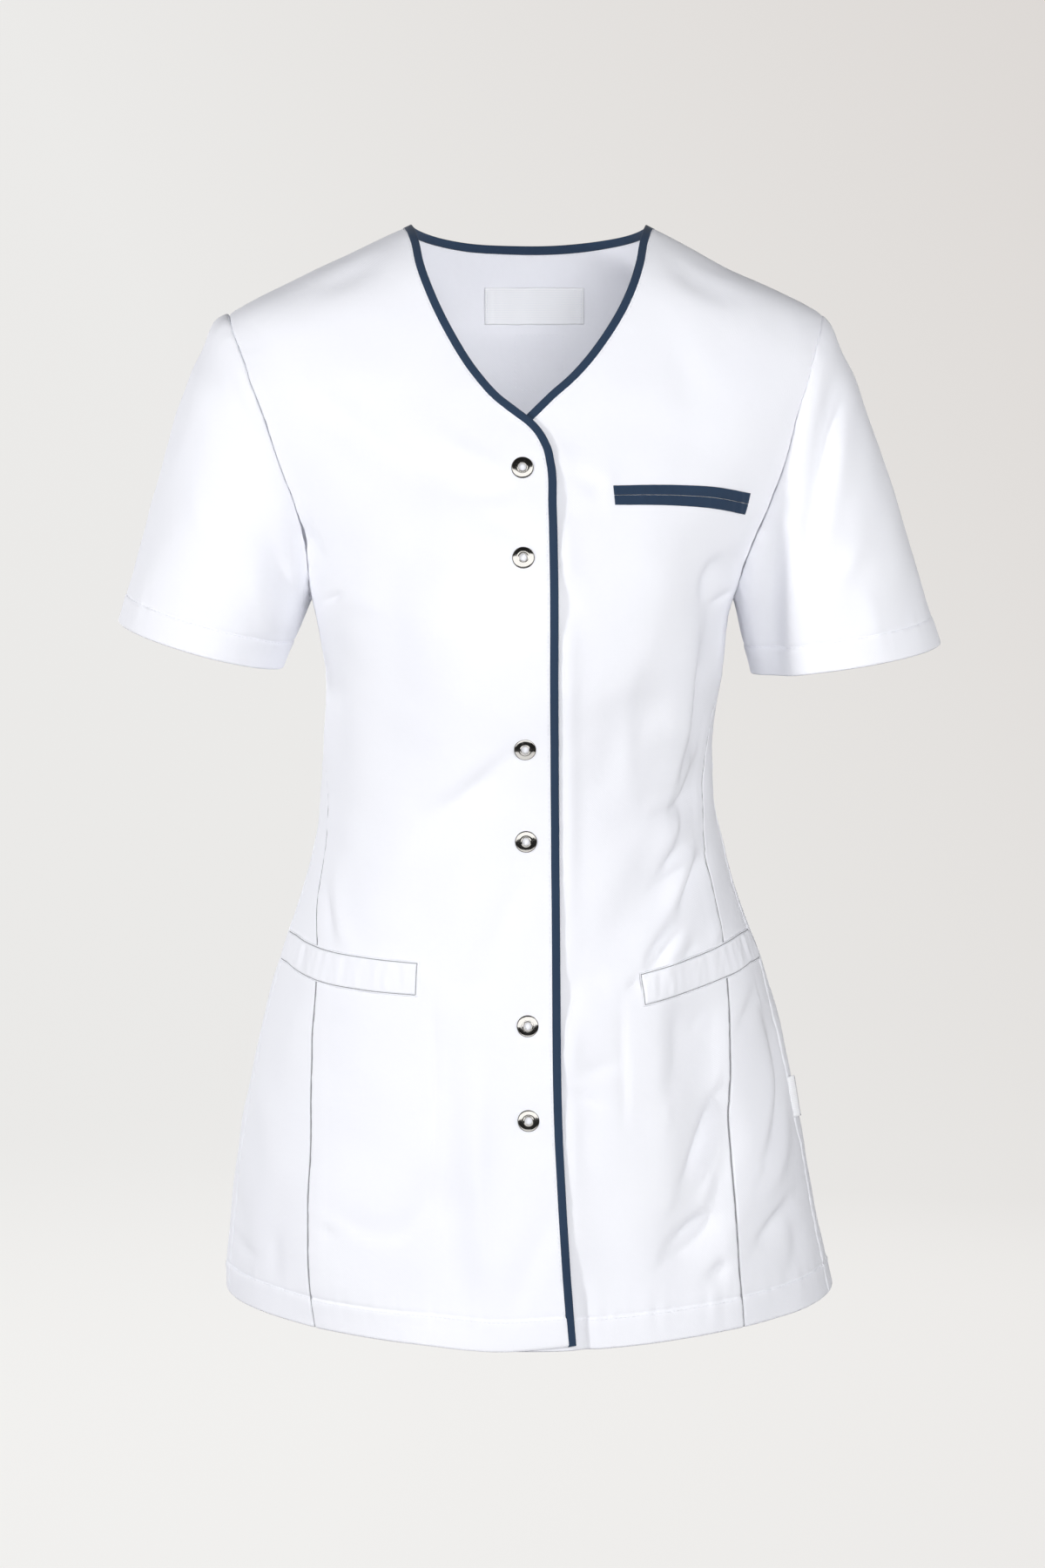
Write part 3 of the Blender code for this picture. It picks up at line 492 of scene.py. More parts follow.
def crease_height(x, z, facing, creases):
    """How far the small creases move the cloth outwards, each along a curve through three points."""
    height = np.zeros_like(x)
    for crease in creases:
        reach = 3 * crease.width * MM
        t = np.linspace(0, 1, 19)[:, None]
        corners = np.array([[crease.x0, crease.z0], [crease.x1, crease.z1], [crease.x2, crease.z2]]) * MM
        curve = (1 - t) ** 2 * corners[0] + 2 * t * (1 - t) * corners[1] + t * t * corners[2]
        low, high = curve.min(axis=0) - reach, curve.max(axis=0) + reach
        sign = 1 if crease.face == "front" else -1
        near = (x > low[0]) & (x < high[0]) & (z > low[1]) & (z < high[1]) & (facing * sign > 0)
        if not near.any():
            continue
        spot = np.stack([x[near], z[near]], axis=-1)[:, None, :]
        step = curve[1:] - curve[:-1]
        share = np.clip(np.sum((spot - curve[:-1]) * step, axis=-1) / np.sum(step ** 2, axis=-1), 0, 1)
        gap = spot - curve[:-1] - share[..., None] * step
        distance = np.hypot(gap[..., 0], gap[..., 1])
        best = distance.argmin(axis=1)
        pick = np.arange(len(best))
        turned = gap[pick, best, 0] * step[best, 1] - gap[pick, best, 1] * step[best, 0]
        along = (best + share[pick, best]) / len(step)
        width = crease.width * MM * np.where(turned > 0, 1 + crease.skew, 1 - crease.skew)
        profile = bell(distance[pick, best], width)
        taper = np.sin(math.pi * np.clip(along * 0.9 + 0.05, 0, 1)) ** 0.8
        height[near] += crease.height * MM * profile * taper * smooth_step(facing[near] * sign, 0.05, 0.3)
    return height


def unevenness(points):
    """A slight waviness in all directions, as no worn cloth is quite smooth."""
    total = np.zeros(points.shape[:-1])
    for direction, length, phase in UNEVEN:
        total += np.sin(points @ (direction / np.linalg.norm(direction)) * 2 * math.pi / length + phase)
    return total / math.sqrt(len(UNEVEN))


def ripple(along, length, row=0):
    """Uneven waves of about this length along a seam or hem, between about -1 and 1."""
    shares = (1.0, 0.73, 1.41, 0.52)
    waves = [np.sin(2 * math.pi * along / (length * share) + phase)
             for share, phase in zip(shares, RIPPLE_PHASES[row])]
    return sum(waves) / 2.2


Slack = namedtuple("Slack", "z reach share")
SLACKS = [Slack(*row) for row in (
    (-176, 22, 1.5), (-240, 18, 1.4), (-448, 25, 0.6), (-492, 20, 1.6), (-550, 16, 0.8), (-625, 25, 0.7),
)]


def under_dip(x, z):
    """How the left front rises to the right one's edge, except where it is slack, and sinks at the hem."""
    edge = table_curve(FRONT_EDGES, "z", "right")(z)
    loose = sum(slack.share * bell(z - slack.z * MM, slack.reach * MM) for slack in SLACKS)
    rise = 2.3 * MM * (1 - loose) * smooth_step(z, -690 * MM, -600 * MM)
    sink = 3.2 * MM * smooth_step(z, -630 * MM, -700 * MM)
    return (rise - sink) * bell(x - edge - 6 * MM, 6 * MM) * smooth_step(z, -135 * MM, -160 * MM)


def corner_lift(x, z):
    """How far the right front's lower corner is drawn up by its edging."""
    return 3.5 * MM * smooth_step(x, -25 * MM, 32 * MM) * smooth_step(z, -640 * MM, -705 * MM)


def lap_lift(x, z):
    """How far the right front stands off the left one, where it laps over it."""
    return LAP_LIFT * smooth_step(x, -75 * MM, -36 * MM) * smooth_step(z, -75 * MM, -112 * MM)


CLOTH_OUT = 0.4 * MM
CLOTH_THICK = 0.7 * MM


def torso_point(angle, z, over=False, offset=CLOTH_OUT):
    """A point of the draped torso with its hem, folds and creases, moved outwards by the offset."""
    angle, z = np.broadcast_arrays(angle, z)
    plain = ring_point(angle, z)
    cosine = np.cos(angle)
    x, height = plain[..., 0], plain[..., 2]
    out = offset + fold_height(x, height, cosine) + crease_height(x, height, cosine, CREASES)
    out = out + 0.35 * MM * unevenness(plain) + snap_dimples(x, height, cosine)
    if over:
        out = out + lap_lift(x, height)
    dip = HEM_DIP * np.abs(cosine) ** 1.5 * smooth_step(height, HEM_DIP_START, HEM_Z)
    if over:
        dip = dip - corner_lift(x, height) * (cosine > 0)
    down = np.array([0.0, 0.0, 1.0]) * np.asarray(dip)[..., None]
    return plain + ring_normal(angle, z) * np.asarray(out)[..., None] - down


Snap = namedtuple("Snap", "x z")
SNAPS = [Snap(*row) for row in (
    (-4.1, -156.3), (-3.5, -212), (-2.4, -332), (-1.8, -392), (-0.7, -510), (-0.2, -570),
)]


def snap_dimples(x, z, facing):
    """The cloth is pressed in where each snap clamps it."""
    pressed = np.zeros_like(x)
    for snap in SNAPS:
        distance = np.hypot(x - snap.x * MM, z - snap.z * MM)
        pressed -= 0.7 * MM * bell(distance, 10 * MM) * (facing > 0)
    return pressed


print(len(FOLDS), "large folds and", len(CREASES), "creases")

# %% [markdown]
# ## Laying a grid of cloth
#
# Each panel is a grid of points, row by row, so that its seams run along the grid's own edges. The rows and
# columns crowd together beside a seam or a hem, because the cloth turns sharply there, and are wider apart
# in between. A Solidify modifier then gives the sheet its thickness. The UV map is filled with the real
# distance along the rows and columns, which is what the weave is drawn from.

# %% Laying a grid of cloth
SEAM_NEAR = np.array([0, 0.35, 0.8, 1.3, 2.0, 3.0, 4.6]) * MM
HEM_NEAR = np.array([0, 0.3, 0.8, 1.5, 2.5, 4.5, 7.5, 10.5, 13.5, 16, 17.6, 18.4, 19.0, 19.6, 20.2,
                     21, 22.4]) * MM
HEM_STITCH = 19.0 * MM
SPACING = 3.1 * MM


def places(length, start, middle, end):
    """Distances along rails of these lengths: crowded at the start and end, even in between."""
    length = np.asarray(length, float)[:, None]
    share = np.linspace(0, 1, middle + 2)[None, 1:-1]
    centre = start[-1] + (length - start[-1] - end[-1]) * share
    return np.concatenate([np.broadcast_to(start, (len(length), len(start))), centre,
                           length - end[::-1]], axis=1)


def run_lengths(points, axis):
    """The distance along the rows or columns of a grid, from its first point."""
    step = np.linalg.norm(np.diff(points, axis=axis), axis=-1)
    start = np.zeros_like(np.take(step, [0], axis=axis))
    return np.concatenate([start, np.cumsum(step, axis=axis)], axis=axis)


def grid_normals(points):
    """Unit normals of a grid, which point outwards when its columns grow with the ring angle."""
    normal = np.cross(np.gradient(points, axis=1), np.gradient(points, axis=0))
    return normal / np.maximum(np.linalg.norm(normal, axis=-1, keepdims=True), 1e-12)


def dress(piece, surface, slot, *nodes):
    """Gives a piece its material and body, and lets it stand for solids. The slot is not used."""
    piece.data.materials.append(surface)
    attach(piece, "root")
    if nodes:
        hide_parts(*nodes)
    return piece


def new_object(name, mesh):
    """An object for a mesh, in the scene."""
    made = bpy.data.objects.new(name, mesh)
    bpy.context.scene.collection.objects.link(made)
    return made


def grid_faces(index):
    """The quads between neighbouring rows and columns of a grid of indices."""
    corners = [index[:-1, :-1], index[:-1, 1:], index[1:, 1:], index[1:, :-1]]
    return np.stack(corners, axis=-1).reshape(-1, 4)


def lay_grid(name, points, thickness, surface, slot, nodes=()):
    """A sheet over a grid of points, with a real-size UV map and a Solidify modifier."""
    rows, columns = points.shape[:2]
    faces = grid_faces(np.arange(rows * columns).reshape(rows, columns))
    mesh = bpy.data.meshes.new(name)
    mesh.from_pydata(points.reshape(-1, 3).tolist(), [], faces.tolist())
    real = np.stack([run_lengths(points, 1), run_lengths(points, 0)], axis=-1).reshape(-1, 2)
    mesh.uv_layers.new(name="cloth").data.foreach_set("uv", real[faces.reshape(-1)].reshape(-1))
    mesh.shade_smooth()
    made = dress(new_object(name, mesh), surface, slot, *nodes)
    shell = made.modifiers.new("Thickness", "SOLIDIFY")
    shell.thickness = thickness
    shell.offset = 0.0
    return made


def lay_tube(name, points, surface, slot, nodes=()):
    """A closed tube over a grid whose last column repeats its first, with both ends capped."""
    rows, columns = points.shape[:2]
    index = np.arange(rows)[:, None] * (columns - 1) + np.arange(columns)[None, :] % (columns - 1)
    sides = grid_faces(index)
    caps = [index[0, :-1][::-1].tolist(), index[-1, :-1].tolist()]
    mesh = bpy.data.meshes.new(name)
    mesh.from_pydata(points[:, :-1].reshape(-1, 3).tolist(), [], sides.tolist() + caps)
    real = np.stack([run_lengths(points, 1), run_lengths(points, 0)], axis=-1)
    ends = np.concatenate([real[0, :-1][::-1], real[-1, :-1]])
    side_uv = real.reshape(-1, 2)[grid_faces(np.arange(rows * columns).reshape(rows, columns)).reshape(-1)]
    mesh.uv_layers.new(name="cloth").data.foreach_set("uv", np.concatenate([side_uv, ends]).reshape(-1))
    mesh.shade_smooth()
    return dress(new_object(name, mesh), surface, slot, *nodes)


def area_of(points):
    """The area of a grid in square metres."""
    across, up = np.diff(points, axis=1), np.diff(points, axis=0)
    return float(np.linalg.norm(np.cross(across[:-1], up[:, :-1]), axis=-1).sum())


print("columns beside a seam, mm:", (SEAM_NEAR / MM).round(2).tolist())

# %% [markdown]
# ## Where the panels meet
#
# A row of a front runs from its edging to the front seam, and above that seam to the armhole. The rows are
# numbered from the hem to the shoulder, and a row number with a fraction gives a row in between, so one
# function can be asked for as many rows as the cloth needs.

# %% Where the panels meet
LAST_ROW = len(LOW_LEVELS) + len(UPPER_ROWS) - 1
UNDERARM_ROW = len(LOW_LEVELS)


def row_numbers(end_near):
    """Row numbers from the hem to the shoulder, crowded at the hem and just below the last row."""
    hem = HEM_Z + HEM_NEAR
    low = np.arange(hem[-1] + SPACING, LOW_LEVELS[-1] * MM, SPACING)
    low_rows = np.interp(np.concatenate([hem, low]), np.array(LOW_LEVELS) * MM, np.arange(UNDERARM_ROW))
    high = [np.arange(UNDERARM_ROW - 1, UNDERARM_ROW, 0.16)]
    high += [UNDERARM_ROW + np.arange(0, 11, 1 / 7), UNDERARM_ROW + 11 + np.arange(0, 3, 1 / 5)]
    rows = np.concatenate([low_rows, *high])
    return np.concatenate([rows[rows < LAST_ROW - 0.4], LAST_ROW - end_near[::-1]])


TOP_NEAR = np.array([0, 0.05, 0.11, 0.18, 0.3, 0.45])
ROWS = row_numbers(TOP_NEAR)


def edge_lines(angle, z, towards, shoulders, distances):
    """Ring angles and heights of lines beside a free edge, at distances from it."""
    free = ring_point(angle, z)
    along = np.gradient(free, axis=0)
    across = np.cross(ring_normal(angle, z), along)
    across[shoulders] = (ring_point(angle, z - MM) - free)[shoulders]
    across /= np.linalg.norm(across, axis=-1, keepdims=True)
    across *= np.sign(np.sum(across * towards, axis=-1, keepdims=True))
    lines = []
    for distance in distances:
        moved = free + across * distance
        lines.append((angle_of(moved), moved[..., 2]))
    return lines


def front_lines(side, rows, distances):
    """Lines beside one front's free edge, from hem to neck."""
    levels = np.array(LOW_LEVELS + [row.edge_z for row in UPPER_ROWS]) * MM
    edge_x = table_curve(FRONT_EDGES, "z", SIDE_NAME[side])
    z = np.interp(rows, np.arange(LAST_ROW + 1), levels)
    angle = angle_at_x(edge_x(z), z)
    last = np.clip(rows - (LAST_ROW - 1), 0, 1)
    z = np.where(last > 0, levels[-1] - (levels[-1] - levels[-2]) * (1 - last) ** 2, z)
    start = angle_at_x(edge_x(levels[-2]), levels[-2])
    angle = np.where(last > 0, start + (side * math.pi / 2 - start) * last, angle)
    return edge_lines(angle, z, np.array([side, 0.0, -0.4]), [-1], distances)


def neck_lines(distances, columns=90):
    """Lines beside the back neck's free edge, from the wearer's left shoulder to the right one."""
    angle = np.linspace(math.pi / 2, 3 * math.pi / 2, columns + 1)
    across = np.abs(ring_point(angle, NECK_BACK_Z)[:, 0])
    z = NECK_BACK_Z + (NECK_TOP_Z - NECK_BACK_Z) * (across / across.max()) ** NECK_RISE_POWER
    lines = edge_lines(angle, z, np.array([0.0, 0.0, -1.0]), [0, -1], distances)
    return [(np.mod(line_angle, 2 * math.pi), line_z) for line_angle, line_z in lines]


def seam_line(side, name, rows, turn_name):
    """A front or side seam from the hem up, and then on around the armhole, at these rows."""
    turns = np.array([getattr(row, turn_name) for row in UPPER_ROWS], float)
    turn = np.interp(rows, UNDERARM_ROW + np.arange(len(turns)), turns)
    high_angle, high_z = armhole_point(turn, side)
    levels = np.append(np.array(LOW_LEVELS) * MM, armhole_point(turns[0], side)[1])
    low_z = np.interp(rows, np.arange(UNDERARM_ROW + 1), levels)
    low_angle = angle_at_y(table_curve(SEAMS, "z", name)(low_z), low_z, side)
    above = rows >= UNDERARM_ROW
    return np.where(above, high_angle, low_angle), np.where(above, high_z, low_z)


print(len(ROWS), "rows of cloth from hem to shoulder")

# %% [markdown]
# ## Seams and hems in relief
#
# Along a seam the cloth turns in and disappears, which leaves a narrow groove, and the seam allowance
# pressed to one side shows as a low ridge beside it. A hem is the edge folded up twice and stitched: its
# fold is round, its band is a little thicker, and the stitches pull a shallow groove with small puckers.

# %% Seams and hems in relief
SEAM_ALLOWANCE = 11 * MM


def turned_in(distance, depth=1.1 * MM, width=1.4 * MM):
    """How far the cloth turns in at a seam, at a distance from it."""
    return -depth * np.clip(1 - distance / width, 0, 1) ** 2


def seam_ditch(distance, z):
    """The front seam's groove, which is deeper below the waist, where the seam is pressed flat."""
    return turned_in(distance) * (1 + 0.9 * smooth_step(z, -235 * MM, -300 * MM))


def allowance(distance):
    """The ridge over a seam allowance that is pressed to this side."""
    far = SEAM_ALLOWANCE + 2 * MM, SEAM_ALLOWANCE - 1 * MM
    return 0.35 * MM * smooth_step(distance, 0, 2 * MM) * smooth_step(distance, *far)


def puckers(distance, along, length, height, fade, row):
    """Small waves square to a seam, which fade away from it."""
    return height * ripple(along, length, row) * np.exp(-distance / fade)


def edge_wave(z):
    """The slight waviness of a front edge, the same in the edging and in the cloth beside it."""
    return 0.22 * MM * ripple(z, 19 * MM, 2)


def hem_relief(distance, along, row):
    """The relief of a turned hem, at a distance above its fold."""
    band = 0.5 * MM * smooth_step(distance, HEM_STITCH + 1.0 * MM, HEM_STITCH - 0.8 * MM)
    groove = -0.75 * MM * bell(distance - HEM_STITCH, 1.1 * MM)
    stitched = puckers(np.abs(distance - HEM_STITCH), along, 11 * MM, 0.45 * MM, 7 * MM, row)
    return band + groove + stitched + turned_in(distance, 0.7 * MM, 0.9 * MM)


print("depth of a seam's groove, mm:", float(-turned_in(0.0) / MM))

# %% [markdown]
# ## The fronts
#
# Each front is ruled straight across from its edging to its front seam, then bent over the worn form. Its
# free edge is tucked into the edging, so the cloth starts a little inside the band. The right front carries
# the lift that lets it lap over the left one.

# %% The fronts
TUCK = 1.2 * MM
EDGE_NEAR = np.array([0, 1.2, 2.4, 3.8]) * MM
FRONT_COLUMNS = 56
Panel = namedtuple("Panel", "piece points normals")


def cloth_panel(name, points, node):
    """Lays one panel of poplin over its points, and tells its area."""
    piece = lay_grid(name, points, CLOTH_THICK, white_poplin, "poplin", [node])
    print(name, points.shape[:2], "area", round(area_of(points), 4), "m2")
    return Panel(piece, points, grid_normals(points))


def ruled_panel(first, last, first_near, middle, last_near):
    """Angles, heights and distances of a grid that is ruled between two lines of the torso."""
    share = np.linspace(0, 1, 25)
    angle, z = (between(start[:, None], end[:, None], share) for start, end in zip(first, last))
    lengths = run_lengths(ring_point(angle, z), 1)
    distance = places(lengths[:, -1], first_near, middle, last_near)
    u = np.stack([np.interp(row, length, share) for row, length in zip(distance, lengths)])
    angle, z = (between(start[:, None], end[:, None], u) for start, end in zip(first, last))
    return angle, z, distance, lengths[:, -1:] - distance


def from_top(angle, z):
    """Distance down each column from the last row."""
    run = run_lengths(ring_point(angle, z), 0)
    return run[-1:] - run


def front_panel(side):
    """One front, with its hem, seams and puckers in relief."""
    tucked = front_lines(side, ROWS, [EDGING_WIDTH - TUCK])[0]
    seam = seam_line(side, f"front_{SIDE_NAME[side]}", ROWS, "front_turn")
    angle, z, near_edge, near_seam = ruled_panel(tucked, seam, EDGE_NEAR, FRONT_COLUMNS, SEAM_NEAR)
    x = ring_point(angle, z)[..., 0]
    out = CLOTH_OUT + seam_ditch(near_seam, z) + turned_in(from_top(angle, z)) + hem_relief(z - HEM_Z, x, 0)
    out = out + allowance(near_seam) * smooth_step(z, -250 * MM, -270 * MM)
    out = out + puckers(near_seam, z, 16 * MM, 0.22 * MM, 8 * MM, 1)
    out = out + edge_wave(z) * np.exp(-near_edge / (9 * MM)) + turned_in(near_edge, 0.6 * MM, 2.0 * MM)
    if side > 0:
        out = out + under_dip(x, z)
    points = torso_point(angle, z, over=side < 0, offset=out)
    return cloth_panel(f"{SIDE_NAME[side]}_front_cloth", points[:, ::side], f"front_{SIDE_NAME[side]}")


right_front, left_front = front_panel(-1), front_panel(1)

# %% [markdown]
# ## The side panels and the back
#
# A side panel is ruled too, between the front seam and the side seam. The back has four different edges:
# hem, two sides, and shoulders with the neck between them. A Coons patch blends four edge curves into one
# grid, and it needs no more than the curves themselves.

# %% The side panels
SIDE_COLUMNS = 26


def side_panel(side):
    """One side panel, from the front seam back to the side seam, with its top in the armhole."""
    rows = ROWS[ROWS <= UNDERARM_ROW - 0.12]
    rows = np.append(rows, UNDERARM_ROW - np.array([0.08, 0.05, 0.025, 0]))
    first = seam_line(side, f"front_{SIDE_NAME[side]}", rows, "front_turn")
    last = seam_line(side, "side", rows, "back_turn")
    angle, z, near_front, near_side = ruled_panel(first, last, SEAM_NEAR[:-1], SIDE_COLUMNS, SEAM_NEAR[:-1])
    front_turn, back_turn = UPPER_ROWS[0].front_turn, UPPER_ROWS[0].back_turn
    share = near_front[-1] / (near_front[-1] + near_side[-1])
    top_z = armhole_point(front_turn + (back_turn - front_turn) * share, side)[1]
    z = z + (top_z - z[-1]) * smooth_step(z, -265 * MM, -243 * MM)
    y = ring_point(angle, z)[..., 1]
    out = CLOTH_OUT + seam_ditch(near_front, z) + turned_in(near_side) + turned_in(from_top(angle, z))
    out = out + hem_relief(z - HEM_Z, y, 3) + puckers(near_front, z, 15 * MM, 0.25 * MM, 8 * MM, 4)
    out = out + puckers(near_side, z, 18 * MM, 0.25 * MM, 8 * MM, 5)
    points = torso_point(angle, z, offset=out)
    return cloth_panel(f"{SIDE_NAME[side]}_side_cloth", points[:, ::side], f"side_{SIDE_NAME[side]}")


right_side, left_side = side_panel(-1), side_panel(1)


# %% The back
BACK_COLUMNS = 146


def back_panel():
    """The back, blended between its hem, its two sides, and its shoulders with the neck."""
    left_angle, left_z = seam_line(1, "side", ROWS, "back_turn")
    right_angle, right_z = seam_line(-1, "side", ROWS, "back_turn")
    left = np.stack([left_angle, left_z], axis=-1)
    right = np.stack([np.mod(right_angle, 2 * math.pi), right_z], axis=-1)
    neck = np.stack(neck_lines([EDGING_WIDTH - TUCK])[0], axis=-1)
    steps = np.linspace(0, 1, 33)[:-1, None]
    left_shoulder = between(left[-1], neck[0], steps)
    right_shoulder = between(right[-1], neck[-1], steps)[::-1]
    top = np.concatenate([left_shoulder, neck, right_shoulder])
    shares = np.concatenate([np.linspace(0, 0.24, 33)[:-1], np.linspace(0.24, 0.76, len(neck)),
                             np.linspace(0.76, 1, 33)[1:]])
    width = run_lengths(ring_point(between(left_angle[:, None], right[:, :1], shares),
                                   between(left_z[:, None], right[:, 1:], shares)), 1)
    distance = places(width[:, -1], SEAM_NEAR[:-1], BACK_COLUMNS, SEAM_NEAR[:-1])
    u = np.stack([np.interp(row, length, shares) for row, length in zip(distance, width)])
    v = (ROWS / LAST_ROW)[:, None]
    grids = []
    for part in range(2):
        hem = between(left[0, part], right[0, part], u)
        corners = between(hem, between(left[-1, part], right[-1, part], u), v)
        upper = np.interp(u, shares, top[:, part])
        sides = between(left[:, part, None], right[:, part, None], u)
        grids.append(between(hem, upper, v) + sides - corners)
    angle, z = grids
    left_near, right_near = distance, width[:, -1:] - distance
    on_shoulder = smooth_step(np.abs(u - 0.5), 0.255, 0.27)
    out = CLOTH_OUT + turned_in(left_near) + turned_in(right_near) + turned_in(from_top(angle, z)) * on_shoulder
    out = out + hem_relief(z - HEM_Z, ring_point(angle, z)[..., 0], 6)
    out = out + puckers(np.minimum(left_near, right_near), z, 18 * MM, 0.25 * MM, 8 * MM, 7)
    out = out + allowance(left_near) + allowance(right_near)
    return cloth_panel("back_cloth", torso_point(angle, z, offset=out), "back")


back = back_panel()

# %% [markdown]
# ## The sleeves
#
# A set-in sleeve starts square to the armhole and ends in its cuff, which hangs a little away from the body.
# A Hermite curve joins each point of the armhole to its point of the cuff, leaving and arriving in given
# directions, which is how the round head of the sleeve gets its shape. The sheet begins and ends at the
# underarm seam, so that the seam is a real one.

# %% The sleeves: tables
Sleeve = namedtuple("Sleeve", "side outer_x outer_z inner_x inner_z depth drop head_fall head_pull hem_pull")
SLEEVES = [
    Sleeve(-1, -271.2, -258, -163, -289, 55, 3, -6, 0.34, 1.15),
    Sleeve(1, 272, -272.9, 147.4, -292.6, 57, 3, 40, 0.35, 0.65),
]
UNDERARM_FALL = 72
UNDERARM_PULL = 1.0
SLEEVE_HANG = 18
SLEEVE_SEAM_TURN = 197
SLEEVE_COLUMNS = 128
SLEEVE_MIDDLE = 58
SLEEVE_CREASES = {
    -1: faced(Crease, [
        (-202, -62, -186, -108, -168, -132, 6, -2.4, 0.0), (-168, -206, -158, -226, -148, -250, 8, -3.2, 0.2),
        (-184, -226, -172, -244, -160, -268, 7, 2.2, 0.0), (-216, -172, -214, -190, -206, -204, 6, 1.5, 0.0),
        (-236, -150, -238, -186, -246, -216, 14, -1.6, 0.0), (-162, -262, -156, -272, -154, -284, 4, -1.2, 0.0),
    ], [
        (-200, -70, -186, -120, -172, -160, 7, -2.6, 0.0), (-180, -200, -172, -236, -176, -276, 8, -2.8, 0.0),
        (-228, -170, -226, -200, -238, -240, 9, 1.8, 0.0),
    ]),
    1: faced(Crease, [
        (200, -96, 191, -150, 179, -216, 7, -4.6, 0.0), (208, -100, 200, -150, 190, -206, 8, 2.2, 0.0),
        (174, -186, 166, -236, 172, -296, 8, 3.6, -0.4), (158, -186, 151, -240, 158, -300, 10, -6.0, 0.0),
        (188, -212, 196, -218, 208, -220, 6, -1.8, 0.0), (214, -206, 206, -222, 198, -232, 6, 1.5, 0.0),
        (176, -186, 180, -196, 186, -200, 5, -1.7, 0.0), (214, -236, 222, -250, 226, -268, 8, 1.6, 0.0),
    ], [
        (200, -75, 188, -122, 174, -168, 7, -2.8, 0.0), (186, -210, 176, -240, 180, -282, 8, -2.6, 0.0),
        (230, -180, 228, -210, 240, -250, 9, 1.8, 0.0),
    ]),
}


def sleeve_rails(size, turn, t):
    """Points of the sleeve's outer face at turns around the armhole and shares t of the way to the cuff."""
    cosine, sine = np.cos(np.radians(turn)), np.sin(np.radians(turn))
    angle, z = armhole_point(turn, size.side)
    plain = ring_point(angle, z)
    normal = ring_normal(angle, z)
    lift = CLOTH_WALL / 2 + fold_height(plain[:, 0], z, np.cos(angle))
    outer = np.array([size.outer_x, 0, size.outer_z]) * MM
    inner = np.array([size.inner_x, 0, size.inner_z]) * MM
    towards_front = np.array([0, -size.depth, -size.drop]) * MM
    end = (outer + inner) / 2 + (outer - inner) / 2 * cosine[:, None] + towards_front * sine[:, None]
    head = (1 + cosine) / 2
    fall = np.radians(size.head_fall * head + UNDERARM_FALL * (1 - head))
    leave = np.stack([size.side * np.cos(fall), -0.25 * sine, -np.sin(fall)], axis=-1)
    leave /= np.linalg.norm(leave, axis=-1, keepdims=True)
    start = plain + normal * lift[:, None] - leave * 0.3 * MM
    reach = np.linalg.norm(end - start, axis=-1)
    leave = leave * (reach * (size.head_pull * head + UNDERARM_PULL * (1 - head)))[:, None]
    hang = math.radians(SLEEVE_HANG)
    arrive = np.array([size.side * math.sin(hang), 0, -math.cos(hang)])
    arrive = arrive * (reach * (size.hem_pull * head + UNDERARM_PULL * (1 - head)))[:, None]
    t = t[:, None] if t.ndim == 1 else t
    return hermite(t[..., None], start, leave, end, arrive)


# %% The sleeves
def sleeve(size):
    """One sleeve from its cuff up to the armhole, with its head, hem and creases in relief."""
    side = size.side
    turn = np.linspace(SLEEVE_SEAM_TURN - 360, SLEEVE_SEAM_TURN, SLEEVE_COLUMNS + 1)[::-side]
    beside = np.array([0.15, 0.4, 0.75])
    turn = np.concatenate([turn[:1], turn[0] - side * beside, turn[1:-1],
                           turn[-1] + side * beside[::-1], turn[-1:]])
    t = np.linspace(1, 0, 81)
    lengths = run_lengths(sleeve_rails(size, turn, t), 0)
    distance = places(lengths[-1], HEM_NEAR, SLEEVE_MIDDLE, SEAM_NEAR).T
    shares = [np.interp(distance[:, i], lengths[:, i], t) for i in range(len(turn))]
    points = sleeve_rails(size, turn, np.stack(shares, axis=1))
    normals = grid_normals(points)
    from_cuff = run_lengths(points, 0)
    from_armhole = from_cuff[-1:] - from_cuff
    around = run_lengths(points, 1)
    from_seam = np.minimum(around, around[:, -1:] - around)
    top = np.clip(np.cos(np.radians(turn)) * 0.5 + 0.5, 0, 1)[None, :]
    out = turned_in(from_armhole) + turned_in(from_seam) + hem_relief(from_cuff, around, 8)
    out = out + 1.0 * MM * bell(from_armhole - 9 * MM, 8 * MM) * top
    out = out - 1.6 * MM * bell(from_armhole - 30 * MM, 12 * MM) * top
    out = out + puckers(from_armhole, around, 13 * MM, 0.4 * MM, 12 * MM, 9)
    out = out + 0.5 * MM * unevenness(points)
    facing = -normals[..., 1]
    out = out + crease_height(points[..., 0], points[..., 2], facing, SLEEVE_CREASES[side])
    points = points + normals * (out - CLOTH_THICK / 2)[..., None]
    return cloth_panel(f"{SIDE_NAME[side]}_sleeve_cloth", points, f"sleeve_{SIDE_NAME[side]}")


right_sleeve, left_sleeve = (sleeve(size) for size in SLEEVES)

# %% [markdown]
# ## The navy edging
#
# The edging is a bias strip folded over the raw edge and stitched through. Seen end on it is a flat loop, so
# its cross-section is a rounded slot shape, carried along the edge as a closed tube. A bevelled curve would
# be quicker, but it would not stay square to the cloth.

# %% The navy edging
EDGING_THICK = 1.5 * MM
FOLD_RADIUS = 0.7 * MM


